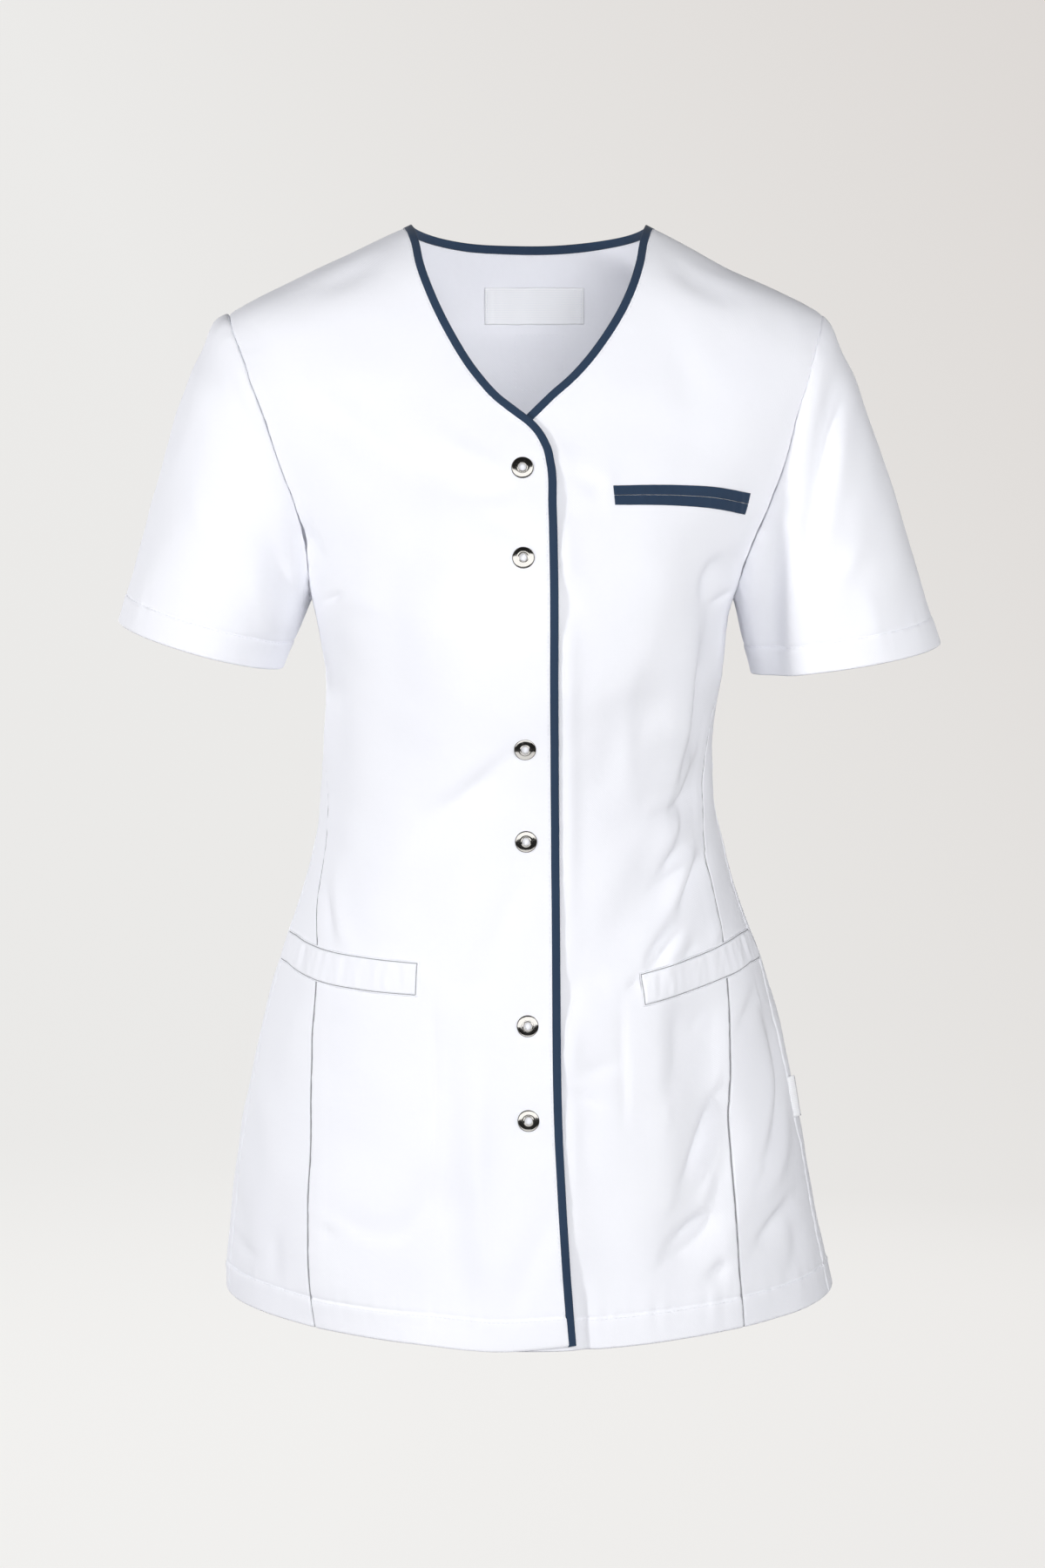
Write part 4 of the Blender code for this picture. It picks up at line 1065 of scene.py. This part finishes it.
def edging_band(name, line_at, over, node, width=EDGING_WIDTH):
    """A folded strip along an edge: line_at gives the angle and height at distances from it."""
    half_turns = np.linspace(-math.pi / 2, math.pi / 2, 7)
    flat = np.linspace(0, 1, 6)[1:-1]
    outer = [(between(width, FOLD_RADIUS, share), 1.0) for share in flat]
    fold = [(FOLD_RADIUS * (1 - math.cos(turn)), math.sin(turn)) for turn in half_turns[::-1]]
    inner = [(between(FOLD_RADIUS, width, share), -1.0) for share in flat]
    loop = [(width + 0.1 * MM, 0.2), (width, 0.75), *outer, *fold, *inner, (width, -0.8)]
    loop.append(loop[0])
    lines = line_at([distance for distance, height in loop])
    angle, z = (np.stack(column, axis=-1) for column in zip(*lines))
    height = np.array([height for distance, height in loop]) * EDGING_THICK / 2
    crown = 0.12 * MM * np.array([h > 0.9 for d, h in loop])
    wave = 0.0 if node == "edging_back" else edge_wave(z)
    points = torso_point(angle, z, over=over, offset=0.15 * MM + height + crown + wave)
    if over or node == "edging_back":
        points = points[:, ::-1]
    piece = lay_tube(name, points, navy_poplin, "edging", [node])
    print(name, points.shape[:2])
    return piece


right_edging = edging_band(
    "right_front_edging", lambda distances: front_lines(-1, ROWS, distances), True, "edging_right")
left_edging = edging_band(
    "left_front_edging", lambda distances: front_lines(1, ROWS, distances), False, "edging_left")
neck_edging = edging_band(
    "back_neck_edging", lambda distances: neck_lines(distances, 150), False, "edging_back", NECK_EDGING_WIDTH)

# %% [markdown]
# ## The pockets
#
# The chest pocket opens between two narrow navy jets, each a strip folded lengthwise. The hip pockets have
# one wide white welt each, which crosses the front seam and is caught in the side seam. Each jet is a closed
# tube over the worn form: a flat loop carried along the pocket. A welt is a grid instead, because its rim
# needs more form: a turned edge, a narrow ditch with a grey cord in it, painted shade of the seam, and a raised
# lip of the front around that. Their faces ripple a little, as several layers of stitched cloth always do.

# %% The pockets: tables
PocketEdge = namedtuple("PocketEdge", "x top bottom")
CHEST_POCKET = [PocketEdge(*row) for row in (
    (53.8, -167.1, -179.1), (73, -166.7, -179.2), (95, -166.8, -179.9), (118, -168.1, -181.9),
    (141.8, -172.3, -186),
)]
HIP_POCKET_RIGHT = [PocketEdge(*row) for row in (
    (-72, -471.4, -491.7), (-107, -469.9, -490.5), (-138, -467.3, -487.3), (-152, -464.6, -483.5),
    (-158, -463, -481),
)]
HIP_POCKET_LEFT = [PocketEdge(*row) for row in (
    (73.4, -479, -498.5), (97, -474, -493.6), (127, -466.6, -486.4), (137, -463.9, -484),
    (146.5, -461.5, -480.5),
)]
CLOTH_FACE = CLOTH_OUT + CLOTH_THICK / 2
POCKET_COLUMNS = 90
JET_THICK = 1.3 * MM


def pocket_frame(table, columns, side=0):
    """Angles along a pocket, and the heights of its top and bottom edges there."""
    middle = (table[0].top + table[0].bottom) / 2 * MM
    inner, outer = angle_at_x(np.array([table[0].x, table[-1].x]) * MM, middle)
    if side:
        outer = angle_at_y(table_curve(SEAMS, "z", "side")(middle) - SEAM_GAP, middle, side)
    angle = np.linspace(inner, outer, columns + 1)
    x = ring_point(angle, middle)[:, 0]
    return angle, table_curve(table, "x", "top")(x), table_curve(table, "x", "bottom")(x)


# %% The pockets: strips
def chest_jet(name, top_share, bottom_share, node):
    """A flat closed strip of navy poplin on the cloth, between two shares of the chest pocket's height."""
    angle, top, bottom = pocket_frame(CHEST_POCKET, POCKET_COLUMNS)
    turns = np.linspace(0, math.pi, 7)
    round_top = [(0.09 * (1 - math.sin(turn)), 0.5 + 0.5 * math.cos(turn)) for turn in turns[::-1]]
    face = [(share, 1.0) for share in np.linspace(0.09, 0.91, 9)[1:-1]]
    round_bottom = [(1 - 0.09 * (1 - math.sin(turn)), 0.5 + 0.5 * math.cos(turn)) for turn in turns]
    under = [(share, 0.0) for share in np.linspace(0.91, 0.09, 5)[1:-1]]
    loop = round_top + face + round_bottom + under
    share, height = np.array(loop + loop[:1]).T[:, None, :]
    high_z, low_z = (between(top, bottom, edge)[:, None] for edge in (top_share, bottom_share))
    z = between(high_z, low_z, share)
    angle = np.broadcast_to(angle[:, None], z.shape)
    along = run_lengths(ring_point(angle, z), 0)
    ends = smooth_step(np.minimum(along, along[-1:] - along), -0.4 * MM, 1.0 * MM)
    rise = 0.15 * MM * (ripple(along, 12 * MM, 11) + 0.5 * ripple(along, 7 * MM, 10)) * height
    seated = CLOTH_FACE - 0.15 * MM + (height * JET_THICK + rise) * ends
    points = torso_point(angle, z, offset=seated)[:, ::-1]
    print(name, points.shape[:2], "length", round(float(along[-1].max()), 4), "m")
    return lay_tube(name, points, navy_poplin, "edging", [node])


CORD_RADIUS = 0.42 * MM


def seam_cord(name, line, normals, lift):
    """A thin cord of seam thread along a line of points, its centre lifted off them by this much; its grey is
    painted shade.
    """
    turns = np.linspace(0, 2 * math.pi, 9)[None, :, None]
    ahead = np.gradient(line, axis=0)
    side = np.cross(ahead, normals)
    side /= np.linalg.norm(side, axis=-1, keepdims=True)
    around = side[:, None, :] * np.cos(turns) + normals[:, None, :] * np.sin(turns)
    points = line[:, None, :] + normals[:, None, :] * lift + around * CORD_RADIUS
    return lay_tube(name, points, seam_thread_painted_shade, "poplin")


WELT_NEAR = np.array([0, 0.25, 0.55, 0.85, 1.1, 1.35, 1.6, 1.9, 2.5, 3.6]) * MM
WELT_HEIGHT = np.array([0.0, 0.5, 0.75, 0.55, 0.02, 0.02, 0.9, 1.2, 1.35, 1.35]) * MM
WELT_LIP = 1.1 * MM
WELT_DITCH = 1.22 * MM


def hip_welt(name, table, side, node):
    """A hip pocket's welt: a lip of the front's cloth, the ditch of the seam, and the raised face inside it."""
    angle, top, bottom = pocket_frame(table, POCKET_COLUMNS, side)
    run = run_lengths(ring_point(angle, (top + bottom) / 2), 0)
    from_inner = np.concatenate([WELT_NEAR - WELT_LIP, np.arange(WELT_NEAR[-1] + MM, run[-1], 1.9 * MM),
                                 run[-1:]])
    step = (angle[1] - angle[0]) / (run[1] - run[0])
    angle = np.where(from_inner < 0, angle[0] + from_inner * step, np.interp(from_inner, run, angle))
    top, bottom = (np.interp(from_inner, run, edge)[:, None] for edge in (top + WELT_LIP, bottom - WELT_LIP))
    middle = np.linspace(0, 1, 9)[None, 1:-1]
    height = top - bottom
    down = np.concatenate([np.broadcast_to(WELT_NEAR, (len(angle), len(WELT_NEAR))),
                           WELT_NEAR[-1] + (height - 2 * WELT_NEAR[-1]) * middle, height - WELT_NEAR[::-1]], axis=1)
    from_end = (from_inner + WELT_LIP)[:, None]
    nearest = np.minimum(np.minimum(down, height - down), from_end)
    rise = np.interp(nearest, WELT_NEAR, WELT_HEIGHT)
    along = np.broadcast_to(from_inner[:, None], down.shape)
    face = smooth_step(nearest, 1.6 * MM, 3.6 * MM)
    rise = rise + 0.42 * MM * face * (ripple(along, 13 * MM, 11) + 0.6 * ripple(along + down / 3, 7 * MM, 10))
    under = height * np.array([0.98, 0.5, 0.02])[None, :]
    down = np.concatenate([down, under], axis=1)
    rise = np.concatenate([rise, np.full(under.shape, -0.15 * MM)], axis=1)
    points = torso_point(angle[:, None], top - down, offset=CLOTH_FACE + 0.05 * MM + rise)
    points = np.concatenate([points, points[:, :1]], axis=1)[:, ::-side]
    made = lay_tube(name, points, white_poplin, "poplin", [node])
    rows = np.flatnonzero(from_end[:, 0] > WELT_DITCH)
    ends = np.linspace(0.06, 0.94, 9)
    turn_angle = np.full(len(ends), np.interp(WELT_DITCH, from_end[:, 0], angle))
    path_angle = np.concatenate([angle[rows][::-1], turn_angle, angle[rows]])
    path_z = np.concatenate([(top[rows, 0] - WELT_DITCH)[::-1], top[0, 0] - height[0, 0] * ends,
                             bottom[rows, 0] + WELT_DITCH])
    # The grey cord in the welt's ditch is painted shade of the seam.
    cord = seam_cord(f"{name}_seam_thread_painted_shade", torso_point(path_angle, path_z, offset=CLOTH_FACE),
                     ring_normal(path_angle, path_z), 0.2 * MM)
    print(name, points.shape[:2], "length", round(float(run[-1]), 4), "m")
    return [made, cord]


upper_jet = chest_jet("chest_pocket_upper_jet", 0, 0.49, "chest_jet_upper")
lower_jet = chest_jet("chest_pocket_lower_jet", 0.505, 1, "chest_jet_lower")
right_welt = hip_welt("right_hip_welt", HIP_POCKET_RIGHT, -1, "hip_welt_right")
left_welt = hip_welt("left_hip_welt", HIP_POCKET_LEFT, 1, "hip_welt_left")

# %% [markdown]
# ## The ring snaps
#
# A ring snap is pressed through the cloth. Outside is a ring that slopes down to its rim, with a small raised
# lip around its hole, where the cloth shows again, slightly domed. Its pressed edge is a ring of its own in dark
# nickel, painted shade which draws the thin dark outline. Inside is the plainer post. All are turned shapes, so a
# Screw modifier spins each profile round its axis, which keeps it easy to read and to change.

# %% The ring snaps
RING_PROFILE = [
    (2.35, 0.2), (2.38, 1.1), (2.5, 1.6), (2.75, 1.85), (3.05, 1.8), (3.25, 1.5), (3.45, 1.42), (3.8, 1.47),
    (4.5, 1.38), (5.2, 1.26), (5.8, 1.13), (6.3, 0.98), (6.62, 0.8), (6.82, 0.52), (6.9, 0.2), (6.8, 0.0),
    (4.6, -0.1), (2.5, 0.0), (2.35, 0.2),
]
RIM_PROFILE = [(6.55, -0.1), (6.55, 0.86), (6.72, 0.84), (6.92, 0.6), (7.02, 0.25), (7.02, -0.1), (6.55, -0.1)]
DOME_PROFILE = [(0, 0.78), (0.7, 0.76), (1.4, 0.66), (2.0, 0.46), (2.5, 0.1), (2.6, -0.2), (0, -0.2)]
POST_PROFILE = [
    (0, 0.55), (1.6, 0.55), (2.6, 0.62), (2.95, 0.85), (3.3, 1.2), (3.9, 1.38), (4.5, 1.3), (4.95, 0.95),
    (5.15, 0.5), (5.2, 0.1), (5.1, 0.0), (0, 0.0),
]


def turned(name, profile, snap, height, outward, surface, slot, nodes=()):
    """A turned shape square to the cloth at a snap: outward on the right front, or inward on the left one."""
    mesh = bpy.data.meshes.new(name)
    corners = [(radius * MM, 0.0, up * MM) for radius, up in profile]
    mesh.from_pydata(corners, [(i, i + 1) for i in range(len(corners) - 1)], [])
    made = dress(new_object(name, mesh), surface, slot, *nodes)
    spin = made.modifiers.new("Turn", "SCREW")
    spin.steps = spin.render_steps = 64
    spin.use_merge_vertices = True
    spin.merge_threshold = 0.02 * MM
    angle = angle_at_x(np.array(snap.x * MM), np.array(snap.z * MM))
    normal = Vector(ring_normal(angle, snap.z * MM)) * (1 if outward else -1)
    made.location = Vector(torso_point(angle, np.array(snap.z * MM), over=outward, offset=height))
    made.rotation_euler = normal.to_track_quat("Z", "Y").to_euler()
    return made


RING_BASE = CLOTH_FACE - 0.05 * MM
POST_BASE = CLOTH_OUT - CLOTH_THICK / 2 + 0.05 * MM
snap_pieces = []
for number, snap in enumerate(SNAPS, start=1):
    snap_pieces += [
        turned(f"ring_snap_{number}", RING_PROFILE, snap, RING_BASE, True, snap_nickel, "snap_metal",
               [f"snap_cap_{number}"]),
        # The dark ring round each snap's edge is painted shade, for the outline that shadow and dark reflection
        # give it.
        turned(f"ring_snap_painted_outline_{number}", RIM_PROFILE, snap, RING_BASE, True, snap_painted_outline, "snap_metal"),
        turned(f"ring_snap_cloth_{number}", DOME_PROFILE, snap, CLOTH_FACE, True, white_poplin, "poplin"),
        turned(f"snap_post_inside_{number}", POST_PROFILE, snap, POST_BASE, False, snap_nickel, "snap_metal",
               [f"snap_post_{number}"]),
    ]
print(len(snap_pieces), "turned pieces at", len(SNAPS), "snaps")

# %% [markdown]
# ## The labels
#
# The neck label is a strip of satin whose two ends are folded under and stitched to the back. The other one
# is a small loop caught in the left side seam. Both are left bare.

# %% The labels
LABEL_LEFT, LABEL_RIGHT = 38, -30
LABEL_BOTTOM, LABEL_TOP = -61, -37
TAB_BOTTOM, TAB_TOP = -587, -560
TAB_REACH = 4.0


def neck_label():
    """The satin label on the inner face of the back, a little slack between its stitched ends."""
    x = np.linspace(LABEL_LEFT, LABEL_RIGHT, 61)[None, :] * MM
    z = np.linspace(LABEL_BOTTOM, LABEL_TOP, 23)[:, None] * MM
    x, z = np.broadcast_arrays(x, z)
    end = np.minimum(LABEL_LEFT * MM - x, x - LABEL_RIGHT * MM)
    slack = 0.5 * MM * smooth_step(end, 3 * MM, 12 * MM) * (1 + 0.4 * ripple(x, 30 * MM, 4))
    fold = 0.35 * MM * smooth_step(end, 6 * MM, 4.5 * MM)
    inward = -(CLOTH_THICK / 2 - CLOTH_OUT + 0.5 * MM + slack + fold)
    points = torso_point(angle_at_x(x, z, "back"), z, offset=inward)
    return lay_grid("neck_label_satin", points, 0.35 * MM, label_satin, "label", ["neck_label"])


def side_tab():
    """The small loop label that stands out of the left side seam."""
    z = np.linspace(TAB_BOTTOM, TAB_TOP, 19)[:, None] * MM
    reach = np.linspace(-1.0, TAB_REACH, 9)[None, :] * MM
    z, reach = np.broadcast_arrays(z, reach)
    angle = angle_at_y(table_curve(SEAMS, "z", "side")(z), z, 1)
    points = torso_point(angle + 0.02 * (reach / (TAB_REACH * MM)) ** 2, z, offset=CLOTH_OUT + reach)
    return lay_grid("side_seam_label", points, 0.8 * MM, label_satin, "label", ["side_tab"])


def inner_back_line(corners, lift):
    """Points and normals on the inner face of the back, along a line through corners given as x and z."""
    x, z = (np.interp(np.linspace(0, len(corners) - 1, 40), range(len(corners)), column) * MM
            for column in zip(*corners))
    angle = angle_at_x(x, z, "back")
    return torso_point(angle, z, offset=CLOTH_OUT - lift), -ring_normal(angle, z)


satin_label = neck_label()
seam_label = side_tab()
print("labels:", satin_label.name, seam_label.name)

# %% [markdown]
# ## Stitches
#
# A lockstitch shows as a row of short threads that dive into the cloth at each needle hole. Each stitch is a
# small spindle of its own, laid along a line of the finished cloth, so it follows every fold. A dashed line
# in the material would look right from far away, but not from near by. The front seams get a thread cord in
# their groove, grey with painted shade, and rows of stitches hold the ends of the label and the square of
# cloth under it.

# %% Stitches
STITCH_PITCH = 3.0 * MM
THREAD_RADIUS = 0.2 * MM
SPINDLE = [(0.0, 0.35, -0.9), (0.2, 0.95, 0.1), (0.5, 1.0, 0.35), (0.8, 0.95, 0.1), (1.0, 0.35, -0.9)]
SPINDLE_SIDES = 6


def stitches(name, line, normals, lift=CLOTH_THICK / 2, pitch=STITCH_PITCH):
    """A row of stitches along a line of points, on the face that its normals point out of."""
    run = run_lengths(line, 0)

    def along(values, at):
        return np.stack([np.interp(at, run, column) for column in values.T], axis=-1)

    count = int(run[-1] / pitch)
    share, radius, height = np.array(SPINDLE).T
    at = (np.arange(count)[:, None] + 0.1 + share * 0.8) * pitch
    up = along(normals, at)
    side = np.cross(along(line, at + 0.5 * MM) - along(line, at - 0.5 * MM), up)
    side /= np.linalg.norm(side, axis=-1, keepdims=True)
    middle = along(line, at) + up * (lift + height * THREAD_RADIUS)[:, None]
    turn = np.linspace(0, 2 * math.pi, SPINDLE_SIDES, endpoint=False)[:, None]
    around = side[..., None, :] * np.cos(turn) + up[..., None, :] * np.sin(turn)
    corners = middle[..., None, :] + around * radius[:, None, None] * THREAD_RADIUS
    index = np.arange(corners.size // 3).reshape(corners.shape[:-1])
    faces = []
    for spindle in index:
        closed = np.concatenate([spindle, spindle[:, :1]], axis=1)
        faces += grid_faces(closed.T).tolist() + [spindle[0].tolist(), spindle[-1, ::-1].tolist()]
    mesh = bpy.data.meshes.new(name)
    mesh.from_pydata(corners.reshape(-1, 3).tolist(), [], faces)
    mesh.shade_smooth()
    return dress(new_object(name, mesh), white_thread, "poplin")


def row_at(panel_points, height):
    """The number of the row that lies this far above the hem."""
    middle = panel_points.shape[1] // 2
    run = run_lengths(panel_points[:, middle:middle + 1], 0)[:, 0]
    return int(np.abs(run - height).argmin())


def edge_stitches(name, line, over=False, facing=1):
    """Stitches along an edging, from a line of angles and heights: outside, or inside where facing is -1."""
    points = torso_point(*line, over=over, offset=CLOTH_OUT)
    return stitches(name, points, ring_normal(*line) * facing)


SEAM_THREAD_TOP = -298
PANELS = {"right_front": right_front, "left_front": left_front, "right_side": right_side,
          "left_side": left_side, "back": back, "right_sleeve": right_sleeve, "left_sleeve": left_sleeve}
threads = {}
for name, panel in PANELS.items():
    row = row_at(panel.points, HEM_STITCH)
    threads[name] = [stitches(f"{name}_hem_stitches", panel.points[row], panel.normals[row])]
for side in SIDE_NAME:
    rows = ROWS[ROWS < np.interp(SEAM_THREAD_TOP, LOW_LEVELS, np.arange(len(LOW_LEVELS)))]
    line = seam_line(side, f"front_{SIDE_NAME[side]}", rows, "front_turn")
    name = f"{SIDE_NAME[side]}_front"
    # The grey cord in each front seam's groove is painted shade.
    threads[name].append(seam_cord(f"{name}_seam_thread_painted_shade", torso_point(*line, offset=CLOTH_FACE),
                                   ring_normal(*line), -0.5 * MM))
LABEL_ENDS = [[(36.2, -60), (36.2, -38)], [(-28.2, -60), (-28.2, -38)]]
SQUARE = [(-9, -68), (24, -68), (24, -106), (-9, -106), (-9, -68)]
SQUARE_SIDES = [SQUARE[i:i + 2] for i in range(4)]
for name, lines, lift, pitch in (("neck_label_stitches", LABEL_ENDS, 1.15 * MM, 2.4 * MM),
                                 ("inner_back_stitches", SQUARE_SIDES, 0, STITCH_PITCH)):
    for number, corners in enumerate(lines, start=1):
        line, inwards = inner_back_line(corners, lift)
        threads["back"].append(stitches(f"{name}_{number}", line, inwards, pitch=pitch))
for side in SIDE_NAME:
    name = f"{SIDE_NAME[side]}_front"
    line = front_lines(side, ROWS, [EDGING_WIDTH + 1.3 * MM])[0]
    threads[name].append(edge_stitches(f"{name}_edge_stitches", line, side < 0))
neck_line = neck_lines([NECK_EDGING_WIDTH + 1.6 * MM])[0]
threads["back"].append(edge_stitches("back_neck_outer_stitches", neck_line))
threads["back"].append(edge_stitches("back_neck_inner_stitches", neck_line, facing=-1))
print(sum(len(made) for made in threads.values()), "rows of thread: stitches, and the two front seams")

# %% [markdown]
# ## How much cloth is in it
#
# Each panel tells its area as it is laid, so that whoever reuses the tunic knows how much cloth is in it.
# The areas are those of what shows: hems, seam allowances and the laps under the edging are folded away, and
# would add to them. Small pieces sewn to a panel are named with it.

# %% [markdown]
# ## Studio
#
# The tunic hangs in front of seamless white paper. A small, fairly hard key light rakes it from the camera's
# left, which draws the folds and the edge shadows, a softbox near the camera fills the front, and a weaker
# one from the right keeps that side from going grey. Two more light the back. The paper is one bowl, flat in
# the middle and rising smoothly at its rim, so no view meets a corner or a horizon. It glows by itself and
# sends no light on the cloth, so the two can be set apart. Polished metal shows whatever stands around it:
# cards that only reflections see give the snaps their bright band between black ones.

# %% Studio
PAPER_Z = -1.38
PAPER_FLAT = 5.0
PAPER_RISE = 3.0
CARD_RADIUS = 1.9
BAND_LOW, BAND_HIGH, BAND_TILT = -0.1, 1.05, 0.12


def grid_mesh(name, x, y, z):
    """A plain mesh over a grid of points."""
    mesh = bpy.data.meshes.new(name)
    points = np.stack([x, y, z], axis=-1).reshape(-1, 3)
    mesh.from_pydata(points.tolist(), [], grid_faces(np.arange(x.size).reshape(x.shape)).tolist())
    return mesh


def seamless_paper():
    """A round sheet of paper whose rim curves up into a wall."""
    turns = np.linspace(0, math.pi / 2, 13)
    profile = [(0.01, PAPER_Z), (1.5, PAPER_Z), (PAPER_FLAT, PAPER_Z)]
    profile += [(PAPER_FLAT + PAPER_RISE * math.sin(t), PAPER_Z + PAPER_RISE * (1 - math.cos(t)))
                for t in turns[1:]]
    profile.append((PAPER_FLAT + PAPER_RISE, PAPER_Z + 8.0))
    around = np.linspace(0, 2 * math.pi, 97)
    radius, height = np.array(profile).T[:, :, None]
    mesh = grid_mesh("seamless paper", radius * np.sin(around), -radius * np.cos(around), height + 0 * around)
    mesh.shade_smooth()
    return new_object("seamless_paper", mesh)


paper, paper_surface = new_material("matt seamless paper")
place = add(paper, "TexCoord")
# The paper's glow is painted light, and it darkens towards the right and the top: painted shade of light falling
# off from the left.
across = add(paper, "VectorMath", {0: place.outputs["Object"], 1: (0.28, 0, 0.15)}, operation="DOT_PRODUCT")
share = add(paper, "MapRange", {"Value": across.outputs["Value"], "From Min": -0.27, "From Max": 0.73})
fill(paper, paper_surface, {
    "Base Color": linear("#505050"), "Roughness": 1.0, "Specular IOR Level": 0.0, "Emission Strength": 0.95,
    "Emission Color": blend(paper, share.outputs[0], "#EEEDEB", "#DCD7D3"),
})
backdrop = seamless_paper()
backdrop.data.materials.append(paper)
backdrop.visible_diffuse = False


def reflected_cards():
    """Cards round the front that only show in metal: a white band at eye height, black above and below it."""
    around = np.radians(np.linspace(-130, 130, 53))[None, :]
    upward = np.radians(np.linspace(-89, 85, 59))[:, None]
    x = CARD_RADIUS * np.sin(around) * np.cos(upward)
    y = -CARD_RADIUS * np.cos(around) * np.cos(upward)
    z = CARD_RADIUS * np.sin(upward) + 0 * around
    mesh = grid_mesh("reflected cards", x, y, z)
    mesh.materials.append(black_card)
    mesh.materials.append(white_card)
    level = z - BAND_TILT * x
    level = (level[:-1, :-1] + level[1:, 1:]) / 2
    white = (level > BAND_LOW) & (level < BAND_HIGH)
    mesh.polygons.foreach_set("material_index", white.astype(int).reshape(-1))
    made = new_object("reflected_cards", mesh)
    made.location = (0, 0, -0.35)
    made.visible_camera = made.visible_diffuse = made.visible_shadow = made.visible_transmission = False
    return made


black_card, card_surface = new_material("black card")
fill(black_card, card_surface, {"Base Color": linear("#101010"), "Roughness": 1.0})
white_card, card_surface = new_material("lit white card")
fill(white_card, card_surface, {"Base Color": linear("#808080"), "Emission Color": linear("#FFFEFB"),
                                "Emission Strength": 1.15})
reflected_cards()


def softbox(name, place, target, size, watts):
    """A square area light that faces a point and doesn't show in the picture."""
    data = bpy.data.lights.new(name, "AREA")
    data.size = size
    data.energy = watts
    lamp = new_object(name, data)
    lamp.location = place
    lamp.rotation_euler = (Vector(target) - Vector(place)).to_track_quat("-Z", "Y").to_euler()
    lamp.visible_camera = lamp.visible_glossy = False
    return lamp


softbox("key light", (-2.6, -1.75, 0.1), (0, 0, -0.3), 0.3, 40)
softbox("front softbox", (0.45, -2.2, 0.0), (0, 0, -0.3), 1.2, 24)
softbox("right softbox", (2.6, -1.7, 0.1), (0, 0, -0.35), 1.0, 24)
softbox("rear key light", (-1.9, 2.5, 0.3), (0, 0, -0.3), 0.3, 38)
softbox("rear softbox", (0.7, 3.0, 0.1), (0, 0, -0.3), 1.6, 25)
glow_inside = bpy.data.lights.new("light through the cloth", "POINT")
glow_inside.energy = 0.11
glow_inside.shadow_soft_size = 0.05
lamp_inside = new_object("light_through_the_cloth", glow_inside)
lamp_inside.location = (0, -0.01, -0.1)
world = bpy.data.worlds.new("studio air")
world.use_nodes = True
bpy.context.scene.world = world
direction = add(world, "TexCoord")
toward = add(world, "VectorMath", {0: direction.outputs["Generated"], 1: (-0.12, -0.10, -0.08)},
             operation="DOT_PRODUCT")
level = add(world, "Math", {0: toward.outputs["Value"], 1: 0.22}, operation="ADD")
background = world.node_tree.nodes["Background"]
background.inputs["Color"].default_value = linear("#FAFAFF")
world.node_tree.links.new(level.outputs[0], background.inputs["Strength"])
print("lights:", [light.name for light in bpy.data.lights])
